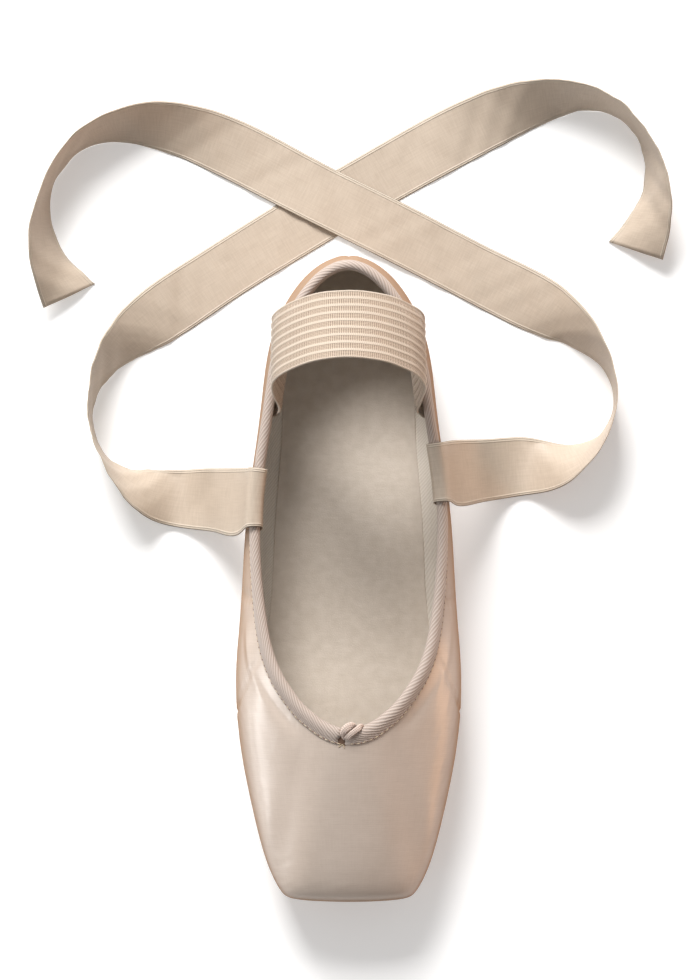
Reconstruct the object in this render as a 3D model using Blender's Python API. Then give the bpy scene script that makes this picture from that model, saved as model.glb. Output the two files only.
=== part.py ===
"""A satin pointe shoe that stands empty on its sole, with its drawstring, elastic and ribbons."""

import math

import bmesh
import bpy
import numpy as np

# Driving sizes in metres: the toe points to -Y, the heel to +Y, and the floor is z = 0
LENGTH = 0.240
BALL_WIDTH = 0.0832
PLATFORM_WIDTH = 0.048
PLATFORM_HEIGHT = 0.026
VAMP_LENGTH = 0.064
THROAT_HEIGHT = 0.050
HEEL_HEIGHT = 0.0526
HEEL_TUCK = 0.0045
BOX_WALL = 0.0028
EDGE_WALL = 0.0012
GAP = 0.0003

# Sole sizes
OUTSOLE_WIDTH = 0.046
OUTSOLE_THICK = 0.0020
OUTSOLE_FRONT = 0.027
OUTSOLE_BACK = 0.0055
OUTSOLE_EDGE = 0.0005
FEATHER_INSET = 0.004
INSOLE_THICK = 0.0024
INSOLE_CLEARANCE = 0.0014
INSOLE_FOOT_CLEARANCE = 0.0032
TOE_SPRING = 0.0040
ARCH_RISE = 0.0035
FOREFOOT_FLAT = (0.20, 0.40)
HEEL_FLAT = (0.80, 0.97)

# Pleats under the toe
PLEAT_COUNT = 18
PLEAT_DEPTH = 0.0006

# Binding sizes
BINDING_WIDTH = 0.0054
BINDING_INSIDE = 0.0060
BINDING_CLOTH = 0.0007
CASING_RADIUS = 0.0021
NOTCH_PLACE = -0.0022
NOTCH_TOP = 0.0004
NOTCH_FOOT = 0.0012

# Drawstring, elastic and ribbon sizes
DRAWSTRING_RADIUS = 0.00125
ELASTIC_WIDTH = 0.028
ELASTIC_THICK = 0.0014
ELASTIC_PLACE = 0.808
ELASTIC_TOP = 0.094
ELASTIC_LEAN = 27.0
ELASTIC_HALF = 0.0290
RIBBON_WIDTH = 0.022
RIBBON_THICK = 0.0005
RIBBON_SEWN = 0.024

# The box wall fades to the quarter wall between these shares of LENGTH and these distances from the edge
BOX_FADE = (0.30, 0.40)
EDGE_FADE = (0.009, 0.022)

# Ribs of the toe, from the middle of the platform round its corner. Each row holds the side's place as
# shares of LENGTH and of half of PLATFORM_WIDTH, the platform's upper and lower rim as shares of half of
# PLATFORM_HEIGHT, the topline's place as shares of the opening's length, of half of BALL_WIDTH and of the
# topline's height, the outsole's place as shares of its length and of half its width, the topline's slope in
# degrees, and how sharp the upper and lower corners are
TOE_RIBS = (
    (0.0000, 0.000, 1.00, 1.00, 0.000, 0.000, 1.000, 0.000, 0.000, 11.0, 3.2, 5.0),
    (0.0012, 0.500, 0.94, 0.95, 0.002, 0.096, 0.998, 0.004, 0.255, 11.5, 3.2, 5.0),
    (0.0040, 0.820, 0.78, 0.82, 0.009, 0.180, 0.990, 0.012, 0.450, 12.0, 3.1, 4.2),
    (0.0090, 0.975, 0.62, 0.76, 0.018, 0.252, 0.982, 0.024, 0.600, 13.5, 3.0, 3.2),
    (0.0225, 1.090, 0.54, 0.84, 0.029, 0.312, 0.974, 0.041, 0.722, 15.5, 2.7, 2.4),
    (0.0575, 1.254, 0.56, 1.04, 0.042, 0.380, 0.963, 0.065, 0.826, 18.5, 2.2, 1.7),
)

# Ribs of the sides and the heel. As above, but the side is in shares of LENGTH, of half of BALL_WIDTH and of
# the topline's height, and the upper knee is a share of the way from the side to the topline
BODY_RIBS = (
    (0.1042, 0.805, 0.384, 0.059, 0.452, 0.949, 0.101, 0.922, 23.0, 0.34, 1.5, 1.3),
    (0.1667, 0.889, 0.380, 0.085, 0.536, 0.930, 0.149, 0.987, 28.0, 0.45, 1.1, 1.0),
    (0.2333, 0.961, 0.380, 0.120, 0.630, 0.904, 0.207, 1.000, 33.0, 0.54, 1.0, 0.85),
    (0.3000, 1.000, 0.390, 0.166, 0.712, 0.872, 0.270, 0.957, 39.0, 0.56, 1.0, 0.85),
    (0.3750, 0.998, 0.408, 0.230, 0.774, 0.836, 0.342, 0.861, 48.0, 0.52, 1.0, 0.85),
    (0.4500, 0.966, 0.428, 0.309, 0.817, 0.803, 0.419, 0.739, 60.0, 0.48, 1.0, 0.85),
    (0.5292, 0.938, 0.444, 0.397, 0.841, 0.784, 0.501, 0.643, 70.0, 0.45, 1.0, 0.85),
    (0.6083, 0.904, 0.450, 0.490, 0.837, 0.780, 0.588, 0.609, 77.0, 0.45, 1.0, 0.85),
    (0.6875, 0.843, 0.440, 0.589, 0.788, 0.800, 0.675, 0.652, 80.0, 0.45, 1.0, 0.85),
    (0.7625, 0.785, 0.430, 0.685, 0.726, 0.838, 0.757, 0.752, 81.0, 0.45, 1.0, 0.90),
    (0.8333, 0.736, 0.420, 0.778, 0.668, 0.884, 0.829, 0.835, 81.0, 0.45, 1.0, 0.95),
    (0.8958, 0.644, 0.412, 0.860, 0.572, 0.932, 0.892, 0.826, 81.0, 0.45, 1.0, 1.00),
    (0.9479, 0.481, 0.406, 0.929, 0.418, 0.969, 0.949, 0.652, 81.0, 0.45, 1.0, 1.00),
    (0.9854, 0.260, 0.402, 0.980, 0.221, 0.993, 0.987, 0.361, 81.0, 0.45, 1.0, 1.00),
    (1.0000, 0.000, 0.400, 1.000, 0.000, 1.000, 1.000, 0.000, 81.0, 0.45, 1.0, 1.00),
)
TOPLINE_ARM = 0.40
CORNERS = 18
SOFT_CORNERS = (2.2, 1.6)
UPPER_ROWS = (1.0, 0.86, 0.70, 0.54, 0.38, 0.22, 0.08)
LOWER_ROWS = (1.0, 0.90, 0.75, 0.60, 0.45, 0.30, 0.15, 0.0)

# Where each ribbon is sewn, as a share of LENGTH, and its route over the floor from there: x and distance
# from the toe tip in metres, the tilt of its width from flat in degrees, and its lift over the other ribbon
RIBBON_PLACES = {"left": 0.625, "right": 0.664}
RIBBON_ROUTES = {
    "left": (
        (-0.064, 0.150, 4, 0),
        (-0.076, 0.153, 42, 0),
        (-0.087, 0.160, 78, 0),
        (-0.095, 0.172, 90, 0),
        (-0.096, 0.188, 86, 0),
        (-0.089, 0.203, 62, 0),
        (-0.075, 0.216, 22, 0),
        (-0.055, 0.230, 3, 0),
        (-0.020, 0.252, 0, 0),
        (0.016, 0.273, 0, 0),
        (0.048, 0.290, 10, 0),
        (0.074, 0.299, 48, 0),
        (0.096, 0.298, 78, 0),
        (0.111, 0.284, 84, 0),
        (0.115, 0.263, 62, 0),
        (0.108, 0.243, 16, 0),
    ),
    "right": (
        (0.066, 0.162, 4, 0),
        (0.079, 0.163, 42, 0),
        (0.091, 0.169, 78, 0),
        (0.099, 0.181, 90, 0),
        (0.098, 0.197, 86, 0),
        (0.089, 0.210, 62, 0),
        (0.074, 0.221, 22, 0),
        (0.053, 0.232, 3, 0),
        (0.018, 0.250, 0, 0.0014),
        (-0.018, 0.268, 0, 0.0014),
        (-0.050, 0.284, 10, 0),
        (-0.077, 0.290, 48, 0),
        (-0.100, 0.284, 78, 0),
        (-0.113, 0.266, 84, 0),
        (-0.114, 0.244, 62, 0),
        (-0.105, 0.226, 16, 0),
    ),
}

# The drawstring's tied ends, as across, below the edge and off the wall, in metres
DRAWSTRING_ROUTES = {
    "left": (
        (-0.0026, 0.0016, 0.0028),
        (-0.0030, -0.0002, 0.0032),
        (-0.0022, -0.0018, 0.0032),
        (-0.0006, -0.0030, 0.0024),
        (0.0010, -0.0037, 0.0012),
    ),
    "right": (
        (0.0002, 0.0028, 0.0028),
        (0.0006, 0.0014, 0.0032),
        (0.0020, 0.0001, 0.0036),
        (0.0035, -0.0012, 0.0035),
        (0.0048, -0.0025, 0.0028),
        (0.0055, -0.0034, 0.0016),
    ),
}

COLOURS = {
    "satin": ((0.66, 0.52, 0.42, 1), 0.42),
    "twill": ((0.62, 0.50, 0.43, 1), 0.85),
    "leather": ((0.60, 0.47, 0.34, 1), 0.70),
    "lining": ((0.74, 0.67, 0.57, 1), 0.90),
    "ribbon": ((0.70, 0.58, 0.45, 1), 0.40),
    "elastic": ((0.72, 0.58, 0.47, 1), 0.80),
    "drawstring": ((0.66, 0.53, 0.45, 1), 0.80),
}


def clear_scene():
    for obj in list(bpy.data.objects):
        bpy.data.objects.remove(obj, do_unlink=True)


def smooth_step(value, low, high):
    """0 below low, 1 above high, and a smooth rise between them."""
    share = np.clip((value - low) / (high - low), 0, 1)
    return share * share * (3 - 2 * share)


def sole_rise(along):
    """Height of the outsole's underside over the floor, at shares of the length."""
    toe = TOE_SPRING * np.clip(1 - along / FOREFOOT_FLAT[0], 0, None) ** 2
    waist = np.clip((along - FOREFOOT_FLAT[1]) / (HEEL_FLAT[0] - FOREFOOT_FLAT[1]), 0, 1)
    return toe + ARCH_RISE * np.sin(math.pi * waist) ** 2


def feather_height(along):
    """Height of the upper's underside, which lies on the outsole."""
    return sole_rise(along) + OUTSOLE_THICK + GAP


def spline(rows, closed, weights=None):
    """The smooth curve through these rows: the rows, their spacing and how the curve bends at each."""
    rows = np.asarray(rows, float)
    measured = rows if weights is None else rows[:, :weights]
    count = len(rows)
    last = count if closed else count - 1
    gaps = np.array([np.linalg.norm(measured[(i + 1) % count] - measured[i]) for i in range(last)])
    steps = np.array([(rows[(i + 1) % count] - rows[i]) / gaps[i] for i in range(last)])
    system = np.eye(count)
    wanted = np.zeros_like(rows)
    for i in range(count) if closed else range(1, count - 1):
        system[i] = 0
        system[i, i - 1] = gaps[i - 1]
        system[i, i] = 2 * (gaps[i - 1] + gaps[i])
        system[i, (i + 1) % count] = gaps[i]
        wanted[i] = 6 * (steps[i] - steps[i - 1])
    return rows, gaps, np.linalg.solve(system, wanted)


def along_spline(curve, at):
    """Rows of the curve at places counted in its rows, such as 2.5 for halfway from row 2 to row 3."""
    rows, gaps, bends = curve
    at = np.asarray(at, float)
    if len(gaps) == len(rows):
        at = np.mod(at, len(rows))
    low = np.clip(np.floor(at).astype(int), 0, len(gaps) - 1)
    high = (low + 1) % len(rows)
    gap = gaps[low][:, None]
    left = (at - low)[:, None] * gap
    right = gap - left
    bent = (bends[low] * right**3 + bends[high] * left**3) / (6 * gap)
    from_low = (rows[low] / gap - bends[low] * gap / 6) * right
    from_high = (rows[high] / gap - bends[high] * gap / 6) * left
    return bent + from_low + from_high


def point(along, half, high):
    """A world place from a share of the length, a half width and a height."""
    return np.array([half, (along - 0.5) * LENGTH, high])


def topline(along, half, high):
    """The topline's world place, from shares of the opening's length, the ball's half width and the height."""
    opening = LENGTH - HEEL_TUCK - VAMP_LENGTH
    height = THROAT_HEIGHT + (HEEL_HEIGHT - THROAT_HEIGHT) * along
    return point((VAMP_LENGTH + along * opening) / LENGTH, half * BALL_WIDTH / 2, high * height)


def outsole_place(along, half, inset):
    """A place on the outsole's outline, moved towards the middle of the sole, at the upper's underside."""
    length = LENGTH - OUTSOLE_FRONT - OUTSOLE_BACK
    share = (OUTSOLE_FRONT + along * length) / LENGTH
    wide = half * OUTSOLE_WIDTH / 2
    middle = np.clip(along, 0.15, 0.90)
    inward = np.array([-wide, (middle - along) * length])
    inward = inward / np.linalg.norm(inward) * inset
    share = share + inward[1] / LENGTH
    return point(share, wide + inward[0], feather_height(share))


def rib_of(side, knee, low_knee, edge, sole, lean, sharp):
    """A rib's control row: feather, low knee, side, upper knee, arm, edge and the two corners' sharpness."""
    outward = side[:2] - edge[:2]
    outward = outward / np.linalg.norm(outward)
    arm = TOPLINE_ARM * np.linalg.norm(side - edge)
    lean = math.radians(lean)
    reach = np.array([*(outward * math.cos(lean)), -math.sin(lean)]) * arm
    low = np.array([side[0], side[1], low_knee])
    high = np.array([side[0], side[1], knee])
    return np.concatenate([sole, low, side, high, edge + reach, edge, sharp])


def ribs():
    """Control rows of the right half, from the toe's middle to the heel's, then of the left half."""
    half_height = PLATFORM_HEIGHT / 2
    middle = feather_height(0) + half_height
    found = []
    for row in TOE_RIBS:
        along, half, rim, foot, edge_along, edge_half, edge_high, sole_along, sole_half, lean, top, low = row
        side = point(along, half * PLATFORM_WIDTH / 2, middle)
        edge = topline(edge_along, edge_half, edge_high)
        sole = outsole_place(sole_along, sole_half, FEATHER_INSET)
        knees = middle + rim * half_height, middle - foot * half_height
        found.append(rib_of(side, *knees, edge, sole, lean, (top, low)))
    for row in BODY_RIBS:
        along, half, high, edge_along, edge_half, edge_high, sole_along, sole_half, lean, knee, top, low = row
        height = THROAT_HEIGHT + (HEEL_HEIGHT - THROAT_HEIGHT) * along
        side = point(along, half * BALL_WIDTH / 2, high * height)
        edge = topline(edge_along, edge_half, edge_high)
        sole = outsole_place(sole_along, sole_half, FEATHER_INSET)
        upper_knee = side[2] + knee * (edge[2] - side[2])
        found.append(rib_of(side, upper_knee, feather_height(along), edge, sole, lean, (top, low)))
    found = np.array(found)
    mirrored = found[-2:0:-1].copy()
    mirrored[:, 0:CORNERS:3] *= -1
    return np.concatenate([found, mirrored])


RING = spline(ribs(), True, CORNERS)
RING_ROWS = len(RING[0])
HEEL_ROW = RING_ROWS // 2


def rib_points(control, sharp, share):
    """Points of ribs at shares from 0 at the feather, through 1 at the side, to 2 at the edge."""
    low = np.clip(share, 0, 1)[:, None]
    high = np.clip(share - 1, 0, 1)[:, None]
    feather, low_knee, side, knee, arm, edge = (control[:, i] for i in range(6))
    top_weight, low_weight = (np.clip(sharp[:, i], 0.6, None)[:, None] for i in (0, 1))
    under = ((1 - low) ** 2, 2 * low_weight * low * (1 - low), low**2)
    below = (under[0] * feather + under[1] * low_knee + under[2] * side) / sum(under)
    knee_share = 3 * top_weight * high * (1 - high) ** 2
    over = ((1 - high) ** 3, knee_share, 3 * high**2 * (1 - high), high**3)
    above = (over[0] * side + over[1] * knee + over[2] * arm + over[3] * edge) / sum(over)
    return np.where(share[:, None] < 1, below, above)


STEPS = np.concatenate([np.linspace(0, 1, 25)[:-1], np.linspace(1, 2, 49)])


def rib_lengths(control, sharp):
    """Length of each rib from its edge down to each of the steps."""
    dense = np.stack([rib_points(control, sharp, np.full(len(control), step)) for step in STEPS], axis=1)
    pieces = np.linalg.norm(np.diff(dense, axis=1), axis=2)
    from_feather = np.concatenate([np.zeros((len(pieces), 1)), np.cumsum(pieces, axis=1)], axis=1)
    return from_feather[:, -1:] - from_feather


def skin(at, down, soft=False):
    """Points of the upper's outer face, at places round the ring and distances down from the edge."""
    rows = along_spline(RING, at)
    control = rows[:, :CORNERS].reshape(-1, 6, 3)
    sharp = rows[:, CORNERS:]
    if soft:
        sharp = np.minimum(sharp, SOFT_CORNERS)
    lengths = rib_lengths(control, sharp)
    down = np.asarray(down, float)
    share = np.array([np.interp(d, row[::-1], STEPS[::-1]) for d, row in zip(down, lengths)])
    found = rib_points(control, sharp, share)
    slope = control[:, 5] - control[:, 4]
    slope = slope / np.linalg.norm(slope, axis=1)[:, None]
    return found + slope * np.clip(-down, 0, None)[:, None]


def wall(at, down, out, soft=False):
    """Points off the upper's outer face: at round the ring, down from the edge and out along its normal."""
    at, down, out = (part.ravel().astype(float) for part in np.broadcast_arrays(at, down, out))
    turn, slide = 0.02, 0.0004
    across = skin(at + turn, down, soft) - skin(at - turn, down, soft)
    fall = skin(at, down + slide, soft) - skin(at, down - slide, soft)
    normal = np.cross(fall, across)
    normal = normal / np.linalg.norm(normal, axis=1)[:, None]
    return skin(at, down, soft) + normal * out[:, None]


def rib_length(at, soft=False):
    """Length from the edge down to the feather, at each place round the ring."""
    rows = along_spline(RING, np.asarray(at, float))
    sharp = np.minimum(rows[:, CORNERS:], SOFT_CORNERS) if soft else rows[:, CORNERS:]
    return rib_lengths(rows[:, :CORNERS].reshape(-1, 6, 3), sharp)[:, 0]


def place_of(along, side):
    """The place round the ring where the topline is this share of the length from the toe tip."""
    rows = np.arange(HEEL_ROW + 1)
    edges = RING[0][rows, CORNERS - 2] / LENGTH + 0.5
    at = np.interp(along, edges, rows)
    return at if side > 0 else RING_ROWS - at


def wall_thickness(along, down):
    """Thick in the box, and thin in the quarters and along the topline."""
    box = 1 - smooth_step(along, *BOX_FADE)
    return EDGE_WALL + (BOX_WALL - EDGE_WALL) * box * smooth_step(down, *EDGE_FADE)


def pleats(at, share):
    """How far the satin's folds stand out under the toe, fading at the platform, sides and outsole."""
    turns = np.where(at > HEEL_ROW, at - RING_ROWS, at)
    fade = 1 - smooth_step(np.abs(turns), 5.5, 8.0)
    fade = fade * smooth_step(1 - share, 0.35, 0.60) * (1 - smooth_step(1 - share, 0.70, 0.85))
    return PLEAT_DEPTH * fade * (0.5 - 0.5 * np.cos(2 * math.pi * turns * PLEAT_COUNT / 14))


def mesh_object(name, material, build):
    """A named object whose mesh the build function makes."""
    mesh = bpy.data.meshes.new(name)
    bm = bmesh.new()
    build(bm)
    bmesh.ops.recalc_face_normals(bm, faces=bm.faces)
    bm.to_mesh(mesh)
    bm.free()
    obj = bpy.data.objects.new(name, mesh)
    bpy.context.scene.collection.objects.link(obj)
    mesh.materials.append(material_of(material))
    return obj


def material_of(name):
    if name in bpy.data.materials:
        return bpy.data.materials[name]
    material = bpy.data.materials.new(name)
    material.use_nodes = True
    surface = material.node_tree.nodes["Principled BSDF"]
    colour, roughness = COLOURS[name]
    surface.inputs["Base Color"].default_value = colour
    surface.inputs["Roughness"].default_value = roughness
    surface.inputs["Metallic"].default_value = 0
    return material


def add_grid(bm, points, round_rows=False, round_columns=False):
    """Quads over a grid of points, closed along its rows or columns where asked. It returns its vertices."""
    count, width = points.shape[:2]
    verts = [[bm.verts.new(points[i, j]) for j in range(width)] for i in range(count)]
    for i in range(count if round_rows else count - 1):
        for j in range(width if round_columns else width - 1):
            after, beside = (i + 1) % count, (j + 1) % width
            bm.faces.new((verts[i][j], verts[after][j], verts[after][beside], verts[i][beside]))
    return verts


def split_quad(bm, a, b, c, d):
    """Two triangles that meet along the line from a to c."""
    bm.faces.new((a, b, c))
    bm.faces.new((a, c, d))


def join_rows(bm, first, second):
    """Quads between two rows of vertices."""
    for i in range(len(first) - 1):
        bm.faces.new((first[i], first[i + 1], second[i + 1], second[i]))


def rows_down(at, soft):
    """Distances down each rib of the upper's rows, and their shares from 2 at the edge to 0 at the feather.

    The rows follow the binding's band, and below it they gather at the ribs' corners."""
    rows = along_spline(RING, at)
    sharp = np.minimum(rows[:, CORNERS:], SOFT_CORNERS) if soft else rows[:, CORNERS:]
    lengths = rib_lengths(rows[:, :CORNERS].reshape(-1, 6, 3), sharp)
    foot = np.array([np.interp(BINDING_WIDTH, row[::-1], STEPS[::-1]) for row in lengths])[:, None]
    over = 1 + (foot - 1) * np.array(UPPER_ROWS)
    share = np.concatenate([over, np.tile(LOWER_ROWS, (len(at), 1))], axis=1)
    down = np.array([np.interp(places, STEPS, row) for places, row in zip(share, lengths)])
    band = np.tile(np.array([0, 0.5]) * BINDING_WIDTH, (len(at), 1))
    return np.concatenate([band, down], axis=1), np.concatenate([np.full_like(band, 2), share], axis=1)


def upper():
    """Box, vamp and quarters as one hollow wall, open at the collar and underneath."""
    at = np.arange(0, RING_ROWS, 0.5)
    down, share = rows_down(at, False)
    outer = wall(at[:, None], down, pleats(at[:, None], share)).reshape(*down.shape, 3)
    down, share = rows_down(at, True)
    plain = wall(at[:, None], down, 0, True)
    thick = wall_thickness(plain[:, 1] / LENGTH + 0.5, down.ravel())
    inner = wall(at[:, None], down, -thick.reshape(down.shape), True).reshape(*down.shape, 3)

    def build(bm):
        section = np.concatenate([outer, inner[:, ::-1]], axis=1)
        add_grid(bm, section, round_rows=True, round_columns=True)

    return mesh_object("upper", "satin", build)


def binding_section():
    """The casing's section as down and out, folded over the wall's edge with the drawstring's ridge on top."""
    middle = -EDGE_WALL / 2
    outer, inner = GAP, -EDGE_WALL - GAP
    turns = np.radians([-30, 25, 70, 110, 155, 210])
    ridge = [
        (-GAP - CASING_RADIUS * math.sin(turn) * 0.9, middle + CASING_RADIUS * math.cos(turn))
        for turn in turns
    ]
    return [
        (BINDING_WIDTH, outer),
        (BINDING_WIDTH, outer + BINDING_CLOTH * 0.6),
        (BINDING_WIDTH * 0.5, outer + BINDING_CLOTH),
        *ridge,
        (BINDING_INSIDE, inner - BINDING_CLOTH),
        (BINDING_INSIDE, inner),
        (-GAP, inner),
        (-GAP, outer),
    ]


BINDING_CAPS = ((0, 1, 2, 3, 12), (3, 4, 12), (4, 5, 6, 7, 11, 12), (7, 8, 11), (8, 9, 10, 11))


def binding():
    """The twill casing round the topline, open beside the throat's middle in a notch that widens downwards."""
    section = np.array(binding_section())
    shares = np.concatenate([[0], np.arange(0.5, RING_ROWS, 0.5), [RING_ROWS]])
    down = np.broadcast_to(section[:, 0], (len(shares), len(section)))
    notch = NOTCH_TOP + (NOTCH_FOOT - NOTCH_TOP) * np.clip(down / BINDING_WIDTH, 0, 1)
    first_row = 0.096 * BALL_WIDTH / 2
    ends = notch / first_row
    at = NOTCH_PLACE / first_row + ends + shares[:, None] / RING_ROWS * (RING_ROWS - 2 * ends)
    points = wall(at, down, section[:, 1]).reshape(*down.shape, 3)

    def build(bm):
        verts = add_grid(bm, points, round_columns=True)
        for end in (verts[0], verts[-1]):
            for corners in BINDING_CAPS:
                bm.faces.new([end[i] for i in corners])

    return mesh_object("binding", "twill", build)


def outsole():
    """A thin leather sole with softened edges, sprung at the toe and arched at the waist."""
    ring = outline_places(np.arange(0, HEEL_ROW + 0.1, 0.5))
    across = np.array([-1.0, 0.0, 1.0])

    def layer(rise, inset):
        rows = []
        for half, y in ring:
            shrink = max(half - inset, 0) / max(half, 1e-9) if half > 1e-6 else 0
            middle = ring[len(ring) // 2, 1]
            moved = y + inset * np.sign(middle - y) * (1 if half < 0.006 else 0.3)
            rows.append([(half * shrink * x, moved, sole_rise(moved / LENGTH + 0.5) + rise) for x in across])
        return np.array(rows)[1:-1]

    tips = [(ring[0, 1], 1), (ring[-1, 1], -1)]
    layers = [layer(0, OUTSOLE_EDGE), layer(OUTSOLE_EDGE, 0), layer(OUTSOLE_THICK, 0)]

    def build(bm):
        grids = [add_grid(bm, layers[0]), None, add_grid(bm, layers[2])]
        middle = [[bm.verts.new(row[0]), bm.verts.new(row[-1])] for row in layers[1]]
        for side, column in ((0, 0), (1, -1)):
            low = [row[column] for row in grids[0]]
            mid = [pair[side] for pair in middle]
            high = [row[column] for row in grids[2]]
            join_rows(bm, low, mid)
            join_rows(bm, mid, high)
        for end, (y, direction) in zip((0, -1), tips):
            close_end(bm, grids, middle, end, y, direction)

    return mesh_object("outsole", "leather", build)


def close_end(bm, grids, middle, end, y, direction):
    """Faces from the last row across to the sole's tip."""
    rise = float(sole_rise(y / LENGTH + 0.5))
    low = bm.verts.new((0, y + direction * OUTSOLE_EDGE, rise))
    mid = bm.verts.new((0, y, rise + OUTSOLE_EDGE))
    high = bm.verts.new((0, y, rise + OUTSOLE_THICK))
    for grid, tip in ((grids[0], low), (grids[2], high)):
        row = grid[end]
        for i in range(len(row) - 1):
            bm.faces.new((row[i], row[i + 1], tip))
    for column, side in ((0, 0), (-1, 1)):
        bottom, top = grids[0][end][column], grids[2][end][column]
        between = middle[end][side]
        bm.faces.new((bottom, low, mid, between))
        bm.faces.new((between, mid, high, top))


def outline_places(at):
    """Half widths and y of the outsole's outline beside these places round the ring."""
    rows = [row[7:9] for row in TOE_RIBS] + [row[6:8] for row in BODY_RIBS]
    length = LENGTH - OUTSOLE_FRONT - OUTSOLE_BACK
    front = OUTSOLE_FRONT - LENGTH / 2
    points = [(half * OUTSOLE_WIDTH / 2, front + along * length) for along, half in rows]
    mirrored = [(-half, y) for half, y in points[-2:0:-1]]
    return along_spline(spline(points + mirrored, True), at)


def inner_ring(at, height, clearance):
    """Where the inner wall has risen this high above the insole's underside, drawn in by the clearance."""
    steps = np.linspace(1, 0, 60)
    found = []
    for place, length in zip(at, rib_length(at, True)):
        down = steps * length
        plain = wall(place, down, 0, True)
        along = plain[:, 1] / LENGTH + 0.5
        inside = wall(place, down, -wall_thickness(along, down), True)
        along = inside[:, 1] / LENGTH + 0.5
        risen = inside[:, 2] - feather_height(along) - wall_thickness(along, 1.0) - 3 * GAP
        first = int(np.argmax(risen > height))
        share = (height - risen[first - 1]) / (risen[first] - risen[first - 1])
        place_there = inside[first - 1] + share * (inside[first] - inside[first - 1])
        middle = np.array([0, np.clip(place_there[1], -0.30 * LENGTH, 0.36 * LENGTH)])
        inward = middle - place_there[:2]
        inward = inward / max(np.linalg.norm(inward), 1e-9)
        found.append(place_there[:2] + inward * clearance)
    return np.array(found)


def insole():
    """The board and lining that fill the shoe's floor from wall to wall."""
    at = np.arange(0, HEEL_ROW + 0.1, 0.5)
    rims = [inner_ring(at, 0.0, INSOLE_FOOT_CLEARANCE), inner_ring(at, INSOLE_THICK, INSOLE_CLEARANCE)]
    across = np.array([-1.0, 0.0, 1.0])

    def layer(rim, rise):
        rows = []
        for half, y in rim[1:-1]:
            along = y / LENGTH + 0.5
            z = float(feather_height(along) + wall_thickness(along, 1.0) + 3 * GAP + rise)
            rows.append([(half * x, y, z) for x in across])
        return np.array(rows)

    def tip(rim, end, rise):
        y = rim[end, 1]
        along = y / LENGTH + 0.5
        return 0, y, float(feather_height(along) + wall_thickness(along, 1.0) + 3 * GAP + rise)

    def build(bm):
        low = add_grid(bm, layer(rims[0], 0))
        high = add_grid(bm, layer(rims[1], INSOLE_THICK))
        for column in (0, -1):
            join_rows(bm, [row[column] for row in low], [row[column] for row in high])
        for end in (0, -1):
            low_tip = bm.verts.new(tip(rims[0], end, 0))
            high_tip = bm.verts.new(tip(rims[1], end, INSOLE_THICK))
            for grid, apex in ((low, low_tip), (high, high_tip)):
                for i in range(len(across) - 1):
                    bm.faces.new((grid[end][i], grid[end][i + 1], apex))
            for column in (0, -1):
                bm.faces.new((low[end][column], low_tip, high_tip, high[end][column]))

    return mesh_object("insole", "lining", build)


def strip(name, material, rows, thick, fine):
    """A thin closed band through rows of points across it, smooth along its length."""
    rows = np.asarray(rows, float)
    count, width = rows.shape[:2]
    curve = spline(rows.reshape(count, -1), False)
    at = np.linspace(0, count - 1, (count - 1) * fine + 1)
    points = along_spline(curve, at).reshape(-1, width, 3)
    points[:, :, 2] = np.maximum(points[:, :, 2], thick * 0.7)
    forward = np.gradient(points, axis=0)
    sideways = np.gradient(points, axis=1)
    normal = np.cross(forward, sideways)
    normal = normal / np.linalg.norm(normal, axis=2)[:, :, None] * thick / 2

    def build(bm):
        over, under = (
            [[bm.verts.new(place) for place in row] for row in face]
            for face in (points + normal, points - normal)
        )
        for i in range(len(points) - 1):
            for j in range(width - 1):
                split_quad(bm, over[i][j], over[i + 1][j], over[i + 1][j + 1], over[i][j + 1])
                split_quad(bm, under[i][j], under[i][j + 1], under[i + 1][j + 1], under[i + 1][j])
        for column in (0, -1):
            join_rows(bm, [row[column] for row in over], [row[column] for row in under])
        for end in (0, -1):
            join_rows(bm, over[end], under[end])

    return mesh_object(name, material, build)


def over_the_edge(thick):
    """Down and out of a band that is sewn inside the quarter and comes up beside the casing and over it."""
    inside = -EDGE_WALL - 2 * GAP - thick / 2
    past_casing = -EDGE_WALL / 2 - CASING_RADIUS - 2 * GAP - thick / 2
    return inside, past_casing


def ribbon(side):
    """A ribbon sewn inside its quarter, turned out over the binding and laid over the floor."""
    sign = -1 if side == "left" else 1
    inside, past_casing = over_the_edge(RIBBON_THICK)
    crest = -GAP - CASING_RADIUS * 0.9 - 2 * GAP - RIBBON_THICK
    outside = CASING_RADIUS - EDGE_WALL / 2 + 2 * GAP + RIBBON_THICK
    steps = (
        (RIBBON_SEWN, inside),
        (RIBBON_SEWN * 0.66, inside),
        (BINDING_INSIDE + 0.0030, inside - 0.0006),
        (BINDING_INSIDE * 0.55, past_casing),
        (0.0002, past_casing),
        (crest * 0.82, past_casing * 0.62),
        (crest, -EDGE_WALL / 2),
        (crest * 0.80, outside * 0.75),
        (0.0006, outside + 0.0003),
        (0.0060, outside + 0.0004),
        (0.0120, outside + 0.0014),
    )
    offsets = np.array([-0.5, 0, 0.5]) * RIBBON_WIDTH
    place = RIBBON_PLACES[side]
    at = np.array([place_of(place + offset / LENGTH, sign) for offset in offsets])
    rows = [wall(at, down, out) for down, out in steps]
    route = RIBBON_ROUTES[side]
    start = np.array([route[0][0], route[0][1] - LENGTH / 2])
    hang = rows[-1]
    for share, height in ((0.30, 0.0175), (0.62, 0.0060)):
        flat = np.array([[start[0], start[1] + offset, 0] for offset in offsets])
        fall = hang * (1 - share) + flat * share
        fall[:, 2] = height
        rows.append(fall)
    rows.extend(floor_rows(route, offsets, sign))
    return strip("ribbon_" + side, "ribbon", rows, RIBBON_THICK, 3)


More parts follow.
